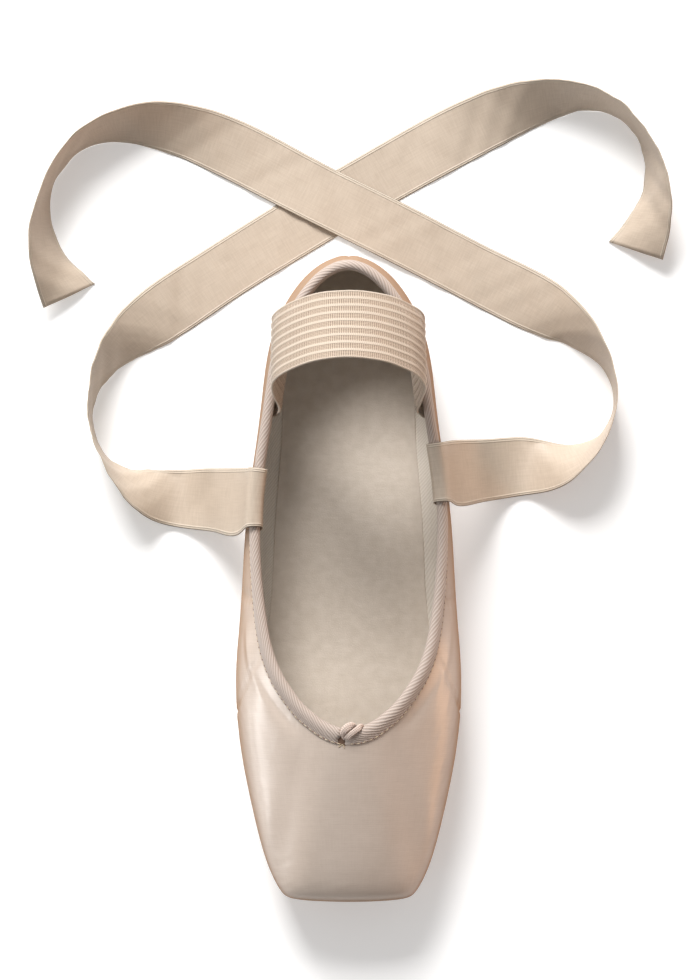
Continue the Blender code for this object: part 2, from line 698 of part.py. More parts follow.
def floor_rows(route, offsets, sign):
    """Rows across a ribbon along its route, each turned from flat by its tilt and resting on the floor."""
    centres = np.array([(x, along - LENGTH / 2) for x, along, tilt, lift in route])
    headings = np.gradient(centres, axis=0)
    headings = headings / np.linalg.norm(headings, axis=1)[:, None]
    rows = []
    for (x, y), heading, (_, _, tilt, lift) in zip(centres, headings, route):
        tilt = math.radians(tilt)
        across = np.array([heading[1], -heading[0]]) * -sign
        rise = RIBBON_WIDTH / 2 * math.sin(tilt) + RIBBON_THICK * 0.7 + lift
        rows.append(
            [
                (
                    x + offset * across[0] * math.cos(tilt),
                    y + offset * across[1] * math.cos(tilt),
                    rise - offset * math.sin(tilt),
                )
                for offset in offsets
            ]
        )
    return [np.array(row) for row in rows]


def ankle_elastic():
    """The ribbed elastic's arch from inside one quarter to the other, as it sits over an ankle."""
    inside, past_casing = over_the_edge(ELASTIC_THICK)
    offsets = np.array([-0.5, 0, 0.5]) * ELASTIC_WIDTH
    lean = math.radians(ELASTIC_LEAN)
    steps = (
        (0.0200, inside),
        (0.0125, inside - 0.0007),
        (BINDING_INSIDE, past_casing - 0.0004),
        (0.0000, past_casing - 0.0008),
        (-0.0050, past_casing - 0.0006),
    )

    def end_rows(sign):
        found = []
        for down, out in steps:
            row = []
            for offset in offsets:
                along = ELASTIC_PLACE + (offset * math.cos(lean) - down * math.sin(lean) / 2) / LENGTH
                row.append(wall(place_of(along, sign), down, out)[0])
            found.append(np.array(row))
        return found

    left, right = end_rows(-1), end_rows(1)
    base = (right[-1] + left[-1]) / 2
    arch = []
    for turn in np.radians([-66, -44, -22, 0, 22, 44, 66]):
        rise = math.cos(turn) ** 0.75
        lift = (ELASTIC_TOP - base[2, 2]) * rise
        row = []
        for column, offset in enumerate(offsets):
            x = ELASTIC_HALF * math.sin(turn) / math.sin(math.radians(78))
            y = base[column, 1] + lift * math.tan(lean) * 0.8
            z = base[2, 2] + lift - offset * math.sin(lean) * rise
            z = z + (base[column, 2] - base[2, 2]) * (1 - rise)
            row.append((x, y, z))
        arch.append(np.array(row))
    return strip("ankle_elastic", "elastic", left + arch + right[::-1], ELASTIC_THICK, 3)


def drawstring_end(side):
    """One tied end of the drawstring, a short thick cord that lies over the binding at the throat."""
    curve = bpy.data.curves.new("drawstring_" + side + "_end", "CURVE")
    curve.dimensions = "3D"
    curve.bevel_depth = DRAWSTRING_RADIUS
    curve.bevel_resolution = 2
    curve.use_fill_caps = True
    curve.resolution_u = 3
    line = curve.splines.new("NURBS")
    route = DRAWSTRING_ROUTES[side]
    line.points.add(len(route) - 1)
    for place, (across, down, out) in zip(line.points, route):
        middle = wall(0.0, down, out)[0]
        place.co = (middle[0] + across, middle[1], middle[2], 1)
    line.use_endpoint_u = True
    line.order_u = 4
    obj = bpy.data.objects.new(curve.name, curve)
    bpy.context.scene.collection.objects.link(obj)
    curve.materials.append(material_of("drawstring"))
    return obj


def main():
    clear_scene()
    outsole()
    insole()
    upper()
    binding()
    ankle_elastic()
    for side in ("left", "right"):
        drawstring_end(side)
        ribbon(side)


main()
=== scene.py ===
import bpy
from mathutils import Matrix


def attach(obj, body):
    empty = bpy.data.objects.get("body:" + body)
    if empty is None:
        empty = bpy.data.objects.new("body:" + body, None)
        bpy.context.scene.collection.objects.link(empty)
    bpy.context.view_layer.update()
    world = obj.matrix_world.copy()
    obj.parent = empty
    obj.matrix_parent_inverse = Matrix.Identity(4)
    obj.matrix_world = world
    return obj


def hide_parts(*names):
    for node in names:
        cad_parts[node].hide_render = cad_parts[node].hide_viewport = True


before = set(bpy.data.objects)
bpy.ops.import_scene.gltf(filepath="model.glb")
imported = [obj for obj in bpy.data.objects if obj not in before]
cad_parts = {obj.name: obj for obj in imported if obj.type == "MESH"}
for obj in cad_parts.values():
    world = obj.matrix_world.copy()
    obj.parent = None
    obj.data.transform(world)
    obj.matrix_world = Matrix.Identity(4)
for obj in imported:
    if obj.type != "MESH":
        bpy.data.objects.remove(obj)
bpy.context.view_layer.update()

import math

import bmesh
import bpy
import numpy as np
from mathutils import Matrix, Vector

# Sizes of the last and its trim, in metres: the toe points to -Y, the heel to +Y, and the floor is z = 0
LENGTH = 0.240
BALL_WIDTH = 0.0832
PLATFORM_WIDTH = 0.048
PLATFORM_HEIGHT = 0.026
VAMP_LENGTH = 0.064
THROAT_HEIGHT = 0.050
HEEL_HEIGHT = 0.0526
HEEL_TUCK = 0.0045
BOX_WALL = 0.0028
EDGE_WALL = 0.0012
GAP = 0.0003
OUTSOLE_WIDTH = 0.046
OUTSOLE_THICK = 0.0020
OUTSOLE_FRONT = 0.027
OUTSOLE_BACK = 0.0055
FEATHER_INSET = 0.004
INSOLE_THICK = 0.0024
TOE_SPRING = 0.0040
ARCH_RISE = 0.0035
FOREFOOT_FLAT = (0.20, 0.40)
HEEL_FLAT = (0.80, 0.97)
BINDING_WIDTH = 0.0040
BINDING_INSIDE = 0.0060
CASING_RADIUS = 0.0021
ELASTIC_WIDTH = 0.028
ELASTIC_THICK = 0.0014
ELASTIC_PLACE = 0.808
ELASTIC_TOP = 0.094
ELASTIC_LEAN = 27.0
ELASTIC_HALF = 0.0290
RIBBON_WIDTH = 0.022
RIBBON_THICK = 0.0005
RIBBON_SEWN = 0.024
BOX_FADE = (0.30, 0.40)
EDGE_FADE = (0.009, 0.022)
MM = 0.001

# Ribs of the toe and of the sides, as in the part's source
TOE_RIBS = (
    (0.0000, 0.000, 1.00, 1.00, 0.000, 0.000, 1.000, 0.000, 0.000, 11.0, 3.2, 5.0),
    (0.0012, 0.500, 0.94, 0.95, 0.002, 0.096, 0.998, 0.004, 0.255, 11.5, 3.2, 5.0),
    (0.0040, 0.820, 0.78, 0.82, 0.009, 0.180, 0.990, 0.012, 0.450, 12.0, 3.1, 4.2),
    (0.0090, 0.975, 0.62, 0.76, 0.018, 0.252, 0.982, 0.024, 0.600, 13.5, 3.0, 3.2),
    (0.0225, 1.090, 0.54, 0.84, 0.029, 0.312, 0.974, 0.041, 0.722, 15.5, 2.7, 2.4),
    (0.0575, 1.254, 0.56, 1.04, 0.042, 0.380, 0.963, 0.065, 0.826, 18.5, 2.2, 1.7),
)
BODY_RIBS = (
    (0.1042, 0.805, 0.384, 0.059, 0.452, 0.949, 0.101, 0.922, 23.0, 0.34, 1.5, 1.3),
    (0.1667, 0.889, 0.380, 0.085, 0.536, 0.930, 0.149, 0.987, 28.0, 0.45, 1.1, 1.0),
    (0.2333, 0.961, 0.380, 0.120, 0.630, 0.904, 0.207, 1.000, 33.0, 0.54, 1.0, 0.85),
    (0.3000, 1.000, 0.390, 0.166, 0.712, 0.872, 0.270, 0.957, 39.0, 0.56, 1.0, 0.85),
    (0.3750, 0.998, 0.408, 0.230, 0.774, 0.836, 0.342, 0.861, 48.0, 0.52, 1.0, 0.85),
    (0.4500, 0.966, 0.428, 0.309, 0.817, 0.803, 0.419, 0.739, 60.0, 0.48, 1.0, 0.85),
    (0.5292, 0.938, 0.444, 0.397, 0.841, 0.784, 0.501, 0.643, 70.0, 0.45, 1.0, 0.85),
    (0.6083, 0.904, 0.450, 0.490, 0.837, 0.780, 0.588, 0.609, 77.0, 0.45, 1.0, 0.85),
    (0.6875, 0.843, 0.440, 0.589, 0.788, 0.800, 0.675, 0.652, 80.0, 0.45, 1.0, 0.85),
    (0.7625, 0.785, 0.430, 0.685, 0.726, 0.838, 0.757, 0.752, 81.0, 0.45, 1.0, 0.90),
    (0.8333, 0.736, 0.420, 0.778, 0.668, 0.884, 0.829, 0.835, 81.0, 0.45, 1.0, 0.95),
    (0.8958, 0.644, 0.412, 0.860, 0.572, 0.932, 0.892, 0.826, 81.0, 0.45, 1.0, 1.00),
    (0.9479, 0.481, 0.406, 0.929, 0.418, 0.969, 0.949, 0.652, 81.0, 0.45, 1.0, 1.00),
    (0.9854, 0.260, 0.402, 0.980, 0.221, 0.993, 0.987, 0.361, 81.0, 0.45, 1.0, 1.00),
    (1.0000, 0.000, 0.400, 1.000, 0.000, 1.000, 1.000, 0.000, 81.0, 0.45, 1.0, 1.00),
)
TOPLINE_ARM = 0.40
CORNERS = 18
SOFT_CORNERS = (2.2, 1.6)

# Where each ribbon is sewn, and its route over the floor: x, distance from the toe tip, tilt and lift
RIBBON_PLACES = {"left": 0.625, "right": 0.664}
RIBBON_ROUTES = {
    "left": (
        (-0.064, 0.150, 4, 0), (-0.076, 0.153, 42, 0), (-0.087, 0.160, 78, 0), (-0.095, 0.172, 90, 0),
        (-0.096, 0.188, 86, 0), (-0.089, 0.203, 62, 0), (-0.075, 0.216, 22, 0), (-0.055, 0.230, 3, 0),
        (-0.020, 0.252, 0, 0), (0.016, 0.273, 0, 0), (0.048, 0.290, 10, 0), (0.074, 0.299, 48, 0),
        (0.096, 0.298, 78, 0), (0.111, 0.284, 84, 0), (0.115, 0.263, 62, 0), (0.108, 0.243, 16, 0),
    ),
    "right": (
        (0.066, 0.162, 4, 0), (0.079, 0.163, 42, 0), (0.091, 0.169, 78, 0), (0.099, 0.181, 90, 0),
        (0.098, 0.197, 86, 0), (0.089, 0.210, 62, 0), (0.074, 0.221, 22, 0), (0.053, 0.232, 3, 0),
        (0.018, 0.250, 0, 0.0014), (-0.018, 0.268, 0, 0.0014), (-0.050, 0.284, 10, 0),
        (-0.077, 0.290, 48, 0), (-0.100, 0.284, 78, 0), (-0.113, 0.266, 84, 0), (-0.114, 0.244, 62, 0),
        (-0.105, 0.226, 16, 0),
    ),
}

# Strands of the drawstring's knot in millimetres: across, below the edge, off the wall, width and thickness
KNOT_STRANDS = {
    "right": (
        (-0.9, 1.9, 0.75, 2.6, 0.5), (-0.6, 1.0, 1.35, 2.4, 0.7), (0.6, -0.4, 1.95, 2.1, 0.8),
        (2.0, -1.6, 2.10, 2.0, 0.8), (3.3, -2.5, 1.75, 2.1, 0.9), (4.2, -3.0, 0.90, 2.3, 1.0),
        (4.7, -2.9, -0.30, 2.0, 1.0), (4.6, -2.5, -1.40, 1.7, 0.9),
    ),
    "left": (
        (-1.7, 1.9, 0.80, 0.8, 0.4), (-2.1, 0.5, 1.40, 1.2, 0.6), (-2.1, -0.9, 1.90, 2.0, 1.0),
        (-1.4, -2.2, 2.10, 2.7, 1.3), (-0.3, -3.1, 1.90, 3.0, 1.4), (1.0, -3.4, 1.20, 2.9, 1.4),
        (1.8, -2.9, 0.20, 2.5, 1.2), (2.0, -2.4, -0.90, 2.0, 1.0),
    ),
}

# How steeply the satin falls away beside the binding, at these places round the ring
WING_PLACES = (4.6, 5.6, 6.2, 6.8, 7.4, 8.0, 9.0, 9.9, 10.8)
WING_FALL = (0.08, 0.150, 0.114, 0.096, 0.079, 0.026, -0.096, -0.22, -0.24)
# Creases that leave the binding at the wings: place, lean, half width, reach and depth in millimetres
WING_CREASES = ((-10.9, -0.35, 0.16, 14, 0.8), (10.9, 0.30, 0.15, 13, 0.8))
# Pleats to each place round the ring, and the share of a pleat that rises
PLEATS_A_PLACE = 18 / 14
PLEAT_RISE = 0.72
# Where the seam of vamp and quarter meets the topline, how far it leans forward, and the lining's seam
SIDE_SEAM = 9.35
SIDE_SEAM_LEAN = 0.9
LINING_SEAM = 10.6

# The casing's section in millimetres, from the satin over the drawstring to the inside: down and out
CASING_SECTION = (
    (4.02, -0.10), (4.14, 0.08), (3.90, 0.32), (3.20, 0.55), (2.20, 0.84), (0.90, 1.18), (-0.70, 1.12),
    (-1.80, 0.44), (-2.24, -0.50), (-2.02, -1.50), (-0.95, -2.40), (0.70, -2.60), (3.00, -2.25),
    (5.30, -2.10), (6.00, -1.85), (6.05, -1.25),
)
# The notch between the casing's ends, in millimetres: its place across, half its width and half its foot's
NOTCH_PLACE = -2.55
NOTCH_WIDTH = 1.25
NOTCH_FOOT = 0.15
# Distance along the topline from the throat's middle to the next rib
THROAT_PITCH = TOE_RIBS[1][5] * BALL_WIDTH / 2
# Half sizes of the stitches and of the dark beads painted as shade in the needle holes in millimetres, and
# the chain stitch's pitch and place
CHAIN_STITCH = (0.85, 0.13, 0.11)
NEEDLE_HOLE_SHADE = (0.30, 0.28, 0.12)
HAND_STITCH = (0.85, 0.17, 0.17)
CHAIN_PITCH = 2.35 * MM
CHAIN_OUT = 0.50 * MM
CHAIN_INSET = 0.40 * MM
# Stitches that cross below the notch: across and below the binding's foot in millimetres, and their turn
CROSSED_THREADS = ((-3.1, -0.1, -24), (-1.8, 0.1, -30), (-2.3, 0.1, 32), (-2.9, 0.75, 38), (-1.5, 0.85, -52))
# The elastic's raised cords
CORDS = 9
RIB_PITCH = ELASTIC_WIDTH / MM / CORDS

# Softboxes: power, colour, size, place and aim
LIGHTS = {
    "key": (95, (1, 0.99, 0.98), (1.0, 1.0), (-0.50, 1.95, 1.62), (0, 0, 0.02)),
    "left_strip": (7.6, (1, 0.99, 0.98), (0.54, 0.27), (-1.80, -0.59, 0.310), (-0.03, -0.035, 0.040)),
    "right_strip": (15, (1, 0.52, 0.25), (1.80, 0.44), (2.36, -0.20, 0.225), (0.02, -0.05, 0.025)),
}
SKY_TOWARD = (-0.20, 0.70, 0.69)
SKY_SPREAD = (-0.20, 1.0)
SKY_STRENGTH = (0.14, 0.52)
FLOOR_HALF = 3.0
FLOOR_GLOW = 0.24
CAMERA_DISTANCE = 1.45
CAMERA_SENSOR = 36
PICTURE_HEIGHT = 0.362


def unit(vectors):
    """These vectors, each with length 1."""
    return vectors / np.linalg.norm(vectors, axis=-1, keepdims=True)


def smooth_step(value, low, high):
    """0 below low, 1 above high, and a smooth rise between them."""
    share = np.clip((value - low) / (high - low), 0, 1)
    return share * share * (3 - 2 * share)


def hump(value, middle, half):
    """1 at the middle, and a smooth fall to 0 at half on either side."""
    return 0.5 + 0.5 * np.cos(math.pi * np.clip((value - middle) / half, -1, 1))


def sole_rise(along):
    """Height of the outsole's underside over the floor, at shares of the length."""
    toe = TOE_SPRING * np.clip(1 - along / FOREFOOT_FLAT[0], 0, None) ** 2
    waist = np.clip((along - FOREFOOT_FLAT[1]) / (HEEL_FLAT[0] - FOREFOOT_FLAT[1]), 0, 1)
    return toe + ARCH_RISE * np.sin(math.pi * waist) ** 2


def feather_height(along):
    """Height of the upper's underside, which lies on the outsole."""
    return sole_rise(along) + OUTSOLE_THICK + GAP


def spline(rows, closed, weights=None):
    """The smooth curve through these rows: the rows, their spacing and how the curve bends at each."""
    rows = np.asarray(rows, float)
    measured = rows if weights is None else rows[:, :weights]
    count = len(rows)
    last = count if closed else count - 1
    gaps = np.array([np.linalg.norm(measured[(i + 1) % count] - measured[i]) for i in range(last)])
    steps = np.array([(rows[(i + 1) % count] - rows[i]) / gaps[i] for i in range(last)])
    system = np.eye(count)
    wanted = np.zeros_like(rows)
    for i in range(count) if closed else range(1, count - 1):
        system[i] = 0
        system[i, i - 1] = gaps[i - 1]
        system[i, i] = 2 * (gaps[i - 1] + gaps[i])
        system[i, (i + 1) % count] = gaps[i]
        wanted[i] = 6 * (steps[i] - steps[i - 1])
    return rows, gaps, np.linalg.solve(system, wanted)


def along_spline(curve, at):
    """Rows of the curve at places counted in its rows, such as 2.5 for halfway from row 2 to row 3."""
    rows, gaps, bends = curve
    at = np.asarray(at, float)
    if len(gaps) == len(rows):
        at = np.mod(at, len(rows))
    low = np.clip(np.floor(at).astype(int), 0, len(gaps) - 1)
    high = (low + 1) % len(rows)
    gap = gaps[low][:, None]
    left = (at - low)[:, None] * gap
    right = gap - left
    bent = (bends[low] * right**3 + bends[high] * left**3) / (6 * gap)
    from_low = (rows[low] / gap - bends[low] * gap / 6) * right
    from_high = (rows[high] / gap - bends[high] * gap / 6) * left
    return bent + from_low + from_high


def point(along, half, high):
    """A world place from a share of the length, a half width and a height."""
    return np.array([half, (along - 0.5) * LENGTH, high])


def topline(along, half, high):
    """A world place on the topline, from shares of the opening, half the ball and the height."""
    opening = LENGTH - HEEL_TUCK - VAMP_LENGTH
    height = THROAT_HEIGHT + (HEEL_HEIGHT - THROAT_HEIGHT) * along
    return point((VAMP_LENGTH + along * opening) / LENGTH, half * BALL_WIDTH / 2, high * height)


def outsole_place(along, half, inset):
    """A place on the outsole's outline, moved towards the middle of the sole, at the upper's underside."""
    length = LENGTH - OUTSOLE_FRONT - OUTSOLE_BACK
    share = (OUTSOLE_FRONT + along * length) / LENGTH
    wide = half * OUTSOLE_WIDTH / 2
    middle = np.clip(along, 0.15, 0.90)
    inward = np.array([-wide, (middle - along) * length])
    inward = unit(inward) * inset
    share = share + inward[1] / LENGTH
    return point(share, wide + inward[0], feather_height(share))


def rib_of(side, knee, low_knee, edge, sole, lean, sharp):
    """A rib's control row: feather, low knee, side, upper knee, arm, edge and the two corners' sharpness."""
    outward = unit(side[:2] - edge[:2])
    arm = TOPLINE_ARM * np.linalg.norm(side - edge)
    lean = math.radians(lean)
    reach = np.array([*(outward * math.cos(lean)), -math.sin(lean)]) * arm
    low = np.array([side[0], side[1], low_knee])
    high = np.array([side[0], side[1], knee])
    return np.concatenate([sole, low, side, high, edge + reach, edge, sharp])


def ribs():
    """Control rows of the right half, from the toe's middle to the heel's, then of the left half."""
    half_height = PLATFORM_HEIGHT / 2
    middle = feather_height(0) + half_height
    found = []
    for row in TOE_RIBS:
        along, half, rim, foot, edge_along, edge_half, edge_high, sole_along, sole_half, lean, top, low = row
        side = point(along, half * PLATFORM_WIDTH / 2, middle)
        edge = topline(edge_along, edge_half, edge_high)
        sole = outsole_place(sole_along, sole_half, FEATHER_INSET)
        knees = middle + rim * half_height, middle - foot * half_height
        found.append(rib_of(side, *knees, edge, sole, lean, (top, low)))
    for row in BODY_RIBS:
        along, half, high, edge_along, edge_half, edge_high, sole_along, sole_half, lean, knee, top, low = row
        height = THROAT_HEIGHT + (HEEL_HEIGHT - THROAT_HEIGHT) * along
        side = point(along, half * BALL_WIDTH / 2, high * height)
        edge = topline(edge_along, edge_half, edge_high)
        sole = outsole_place(sole_along, sole_half, FEATHER_INSET)
        upper_knee = side[2] + knee * (edge[2] - side[2])
        found.append(rib_of(side, upper_knee, feather_height(along), edge, sole, lean, (top, low)))
    found = np.array(found)
    mirrored = found[-2:0:-1].copy()
    mirrored[:, 0:CORNERS:3] *= -1
    return np.concatenate([found, mirrored])


RING = spline(ribs(), True, CORNERS)
RING_ROWS = len(RING[0])
HEEL_ROW = RING_ROWS // 2
# Steps round the ring and down a rib over which a direction is taken
NEAR = 0.02
SLIDE = 0.0004
STEPS = np.concatenate([np.linspace(0, 1, 25)[:-1], np.linspace(1, 2, 49)])


def rib_points(control, sharp, share):
    """Points of ribs at shares from 0 at the feather, through 1 at the side, to 2 at the edge."""
    low = np.clip(share, 0, 1)[:, None]
    high = np.clip(share - 1, 0, 1)[:, None]
    feather, low_knee, side, knee, arm, edge = (control[:, i] for i in range(6))
    top_weight, low_weight = (np.clip(sharp[:, i], 0.6, None)[:, None] for i in (0, 1))
    under = ((1 - low) ** 2, 2 * low_weight * low * (1 - low), low**2)
    below = (under[0] * feather + under[1] * low_knee + under[2] * side) / sum(under)
    knee_share = 3 * top_weight * high * (1 - high) ** 2
    over = ((1 - high) ** 3, knee_share, 3 * high**2 * (1 - high), high**3)
    above = (over[0] * side + over[1] * knee + over[2] * arm + over[3] * edge) / sum(over)
    return np.where(share[:, None] < 1, below, above)


def rib_lengths(control, sharp):
    """Length of each rib from its edge down to each of the steps."""
    dense = np.stack([rib_points(control, sharp, np.full(len(control), step)) for step in STEPS], axis=1)
    pieces = np.linalg.norm(np.diff(dense, axis=1), axis=2)
    from_feather = np.concatenate([np.zeros((len(pieces), 1)), np.cumsum(pieces, axis=1)], axis=1)
    return from_feather[:, -1:] - from_feather


def ribs_at(at, soft):
    """Control points and corner weights of the ribs at these places round the ring, and their lengths."""
    rows = along_spline(RING, at)
    sharp = np.minimum(rows[:, CORNERS:], SOFT_CORNERS) if soft else rows[:, CORNERS:]
    control = rows[:, :CORNERS].reshape(-1, 6, 3)
    return control, sharp, rib_lengths(control, sharp)


def skin(at, down, soft=False):
    """Points of the upper's outer face, at places round the ring and distances down from the edge."""
    places, which = np.unique(at, return_inverse=True)
    control, sharp, lengths = ribs_at(places, soft)
    order = np.argsort(which, kind="stable")
    ends = np.searchsorted(which[order], np.arange(len(places) + 1))
    share = np.empty(len(at))
    for i, row in enumerate(lengths):
        chosen = order[ends[i] : ends[i + 1]]
        share[chosen] = np.interp(down[chosen], row[::-1], STEPS[::-1])
    control, sharp = control[which], sharp[which]
    slope = unit(control[:, 5] - control[:, 4])
    return rib_points(control, sharp, share) + slope * np.clip(-down, 0, None)[:, None]


def wall(at, down, out, soft=False):
    """Points off the upper's outer face: at round the ring, down from the edge and out along its normal."""
    at, down, out = (part.ravel().astype(float) for part in np.broadcast_arrays(at, down, out))
    across = skin(at + NEAR, down, soft) - skin(at - NEAR, down, soft)
    fall = skin(at, down + SLIDE, soft) - skin(at, down - SLIDE, soft)
    return skin(at, down, soft) + unit(np.cross(fall, across)) * out[:, None]


def place_of(along, side):
    """The place round the ring where the topline is this share of the length from the toe tip."""
    rows = np.arange(HEEL_ROW + 1)
    edges = RING[0][rows, CORNERS - 2] / LENGTH + 0.5
    at = np.interp(along, edges, rows)
    return at if side > 0 else RING_ROWS - at


def wall_thickness(along, down):
    """Thick in the box, and thin in the quarters and along the topline."""
    box = 1 - smooth_step(along, *BOX_FADE)
    return EDGE_WALL + (BOX_WALL - EDGE_WALL) * box * smooth_step(down, *EDGE_FADE)


class Level:
    """A socket's value, which adds the Math nodes when it is used in a sum."""

    def __init__(self, finish, socket):
        self.finish = finish
        self.socket = socket

    def math(self, operation, *values):
        return self.finish.node("ShaderNodeMath", {"operation": operation}, dict(enumerate(values)))

    def __add__(self, other):
        return self.math("ADD", self, other)

    __radd__ = __add__

    def __sub__(self, other):
        return self.math("SUBTRACT", self, other)

    def __rsub__(self, other):
        return self.math("SUBTRACT", other, self)

    def __mul__(self, other):
        return self.math("MULTIPLY", self, other)

    __rmul__ = __mul__

    def __truediv__(self, other):
        return self.math("DIVIDE", self, other)

    def __pow__(self, other):
        return self.math("POWER", self, other)

    def __abs__(self):
        return self.math("ABSOLUTE", self)

    def sine(self):
        return self.math("SINE", self)

    def cosine(self):
        return self.math("COSINE", self)

    def under(self, most):
        return self.math("MINIMUM", self, most)

    def repeat(self, pitch):
        """The share of the way through each pitch, from 0 to 1."""
        return self.math("FRACT", self / pitch)

    def rise(self, low, high):
        """0 below low, 1 above high, and a smooth rise between them."""
        values = {"Value": self, "From Min": low, "From Max": high}
        return self.finish.node("ShaderNodeMapRange", {"interpolation_type": "SMOOTHSTEP"}, values)


class Finish:
    """A Principled material and the one way its nodes are made."""

    def __init__(self, name, colour, roughness, **constants):
        self.material = bpy.data.materials.new(name)
        self.material.use_nodes = True
        self.tree = self.material.node_tree
        self.surface = self.tree.nodes["Principled BSDF"]
        self.surface.inputs["Base Color"].default_value = (*colour, 1)
        self.surface.inputs["Roughness"].default_value = roughness
        for name, value in constants.items():
            self.socket(name).default_value = value

    def socket(self, name):
        """The surface's socket for a name such as coat_ior."""
        return self.surface.inputs[name.replace("_", " ").title().replace("Ior", "IOR")]

    def node(self, kind, settings=None, values=None, out=0):
        made = self.tree.nodes.new(kind)
        for name, value in (settings or {}).items():
            setattr(made, name, value)
        for name, value in (values or {}).items():
            self.feed(made.inputs[name], value)
        return Level(self, made.outputs[out])

    def feed(self, socket, value):
        if isinstance(value, Level):
            self.tree.links.new(value.socket, socket)
        else:
            socket.default_value = value

    def set(self, **links):
        for name, value in links.items():
            self.feed(self.socket(name), value)

    def split(self, where):
        parts = self.tree.nodes.new("ShaderNodeSeparateXYZ")
        self.feed(parts.inputs[0], where)
        return [Level(self, socket) for socket in parts.outputs]

    def cloth_places(self):
        """Distances over the cloth in millimetres, from its own map."""
        return self.split(self.node("ShaderNodeUVMap", {"uv_map": "cloth"}))[:2]

    def places(self):
        """Distances over the object in millimetres."""
        return [part * 1000 for part in self.split(self.node("ShaderNodeTexCoord", out="Object"))]

    def joined(self, x, y, z=0.0):
        return self.node("ShaderNodeCombineXYZ", {}, {0: x, 1: y, 2: z})

    def noise(self, where, scale, detail=2.0, roughness=0.5):
        values = {"Vector": where, "Scale": scale, "Detail": detail, "Roughness": roughness}
        return self.node("ShaderNodeTexNoise", {}, values)

    def grain(self, across, along, detail=2.0, roughness=0.5, seed=0.0):
        """Noise over the cloth, as long each way as the scale of that distance makes it."""
        return self.noise(self.joined(across, along, seed), 1.0, detail, roughness)

    def mixed(self, share, first, second):
        first, second = (x if isinstance(x, Level) else (*x, 1) for x in (first, second))
        return self.node("ShaderNodeMix", {"data_type": "RGBA"}, {0: share, 6: first, 7: second}, out=2)

    def bump(self, height):
        """A Normal from a height in millimetres."""
        return self.node("ShaderNodeBump", {}, {"Strength": 1.0, "Distance": MM, "Height": height})

    def dress(self, share, dark, pale, height):
        """The material, its colour from dark to pale by this share and its relief from a height."""
        self.set(base_color=self.mixed(share, dark, pale), normal=self.bump(height))
        return self.material


def satin_finish():
    """Champagne satin: a fine weft over long warp floats, with a soft sheen, and painted shade that turns its
    colour darker and warmer at its edges.
    """
    gloss = {"coat_roughness": 0.29, "coat_ior": 1.6, "specular_ior_level": 0.0}
    finish = Finish("champagne_satin", (0.60, 0.49, 0.41), 0.30, **gloss)
    across, along = finish.cloth_places()
    weft = finish.grain(across * 0.22, along * 3.4, 1.0)
    slub = finish.grain(across * 0.05, along * 0.9, 1.0, seed=7.0)
    warp = finish.grain(across * 1.7, along * 0.12, 1.0, seed=5.0)
    broad = finish.grain(across * 0.035, along * 0.035, seed=9.0)
    threads = (along * (2 * math.pi / 0.72) + slub * 5.0).sine() * 0.5 + 0.5
    tone = weft * 0.38 + slub * 0.28 + warp * 0.30 + broad * 0.55 + threads * 0.10
    colour = finish.mixed(tone.rise(0.45, 1.15), (0.535, 0.440, 0.368), (0.625, 0.525, 0.450))
    edge = finish.node("ShaderNodeLayerWeight", {}, {"Blend": 0.35}, out=1)
    # Painted shade: where the satin faces away from the view its colour is mixed darker and warmer, as
    # painted shade and a painted warm rim at its edges.
    colour = finish.mixed((edge**1.7).rise(0.03, 0.42) * 0.95, colour, (0.380, 0.250, 0.165))
    finish.set(base_color=colour, roughness=0.34 + weft * 0.08)
    finish.set(coat_weight=(1 - edge).rise(0.15, 0.75))
    finish.set(normal=finish.bump(weft * 0.006 + slub * 0.005 + warp * 0.005 + threads * 0.003))
    return finish.material


def twill_finish():
    """Cotton twill cut on the bias: rounded ribs that slant over the casing."""
    finish = Finish("bias_twill", (0.60, 0.50, 0.44), 0.88, sheen_weight=0.15, sheen_roughness=0.5)
    along, across = finish.cloth_places()
    slant = math.radians(28)
    wander = finish.grain(along * 0.12, across * 0.12, 1.0)
    phase = (along * math.sin(slant) - across * math.cos(slant) + wander * 0.7) * (2 * math.pi / 1.02)
    rib = 1 - abs((phase * 0.5).sine()) ** 2.0
    yarns = finish.grain(along * 2.6, across * 2.6, 2.0, 0.6)
    clear = along.rise(1.6, 4.2)
    # Painted shade: the colour darkens in the grooves between the ribs, with a random tone from the yarns on
    # top.
    shade = (rib * 0.75 + yarns * 0.45).rise(0.15, 1.0) * clear
    return finish.dress(shade, (0.545, 0.460, 0.408), (0.39, 0.31, 0.26), yarns * 0.05 - rib * clear * 0.12)


def ribbon_finish():
    """Satin ribbon, yellower than the shoe, with two corded lines along each edge."""
    finish = Finish("satin_ribbon", (0.60, 0.49, 0.385), 0.45, specular_ior_level=0.35)
    across, along = finish.cloth_places()
    weft = finish.grain(across * 0.16, along * 1.9, 3.0, 0.6)
    warp = finish.grain(across * 2.2, along * 0.10, seed=5.0)
    inset = RIBBON_WIDTH / MM / 2 - abs(across)
    cords = 0
    for middle in (0.35, 1.15):
        cords = cords + (1 - (abs(inset - middle) / 0.32).under(1) ** 2) ** 0.5
    tone = (weft * 0.7 + warp * 0.5).rise(0.35, 0.85)
    cloth = finish.mixed(tone, (0.480, 0.392, 0.308), (0.555, 0.462, 0.372))
    finish.set(base_color=finish.mixed(cords * 0.7, cloth, (0.66, 0.575, 0.470)))
    finish.set(roughness=0.42 + weft * 0.12 + cords * 0.15)
    finish.set(normal=finish.bump(weft * 0.02 + warp * 0.015 + cords * 0.22))
    return finish.material


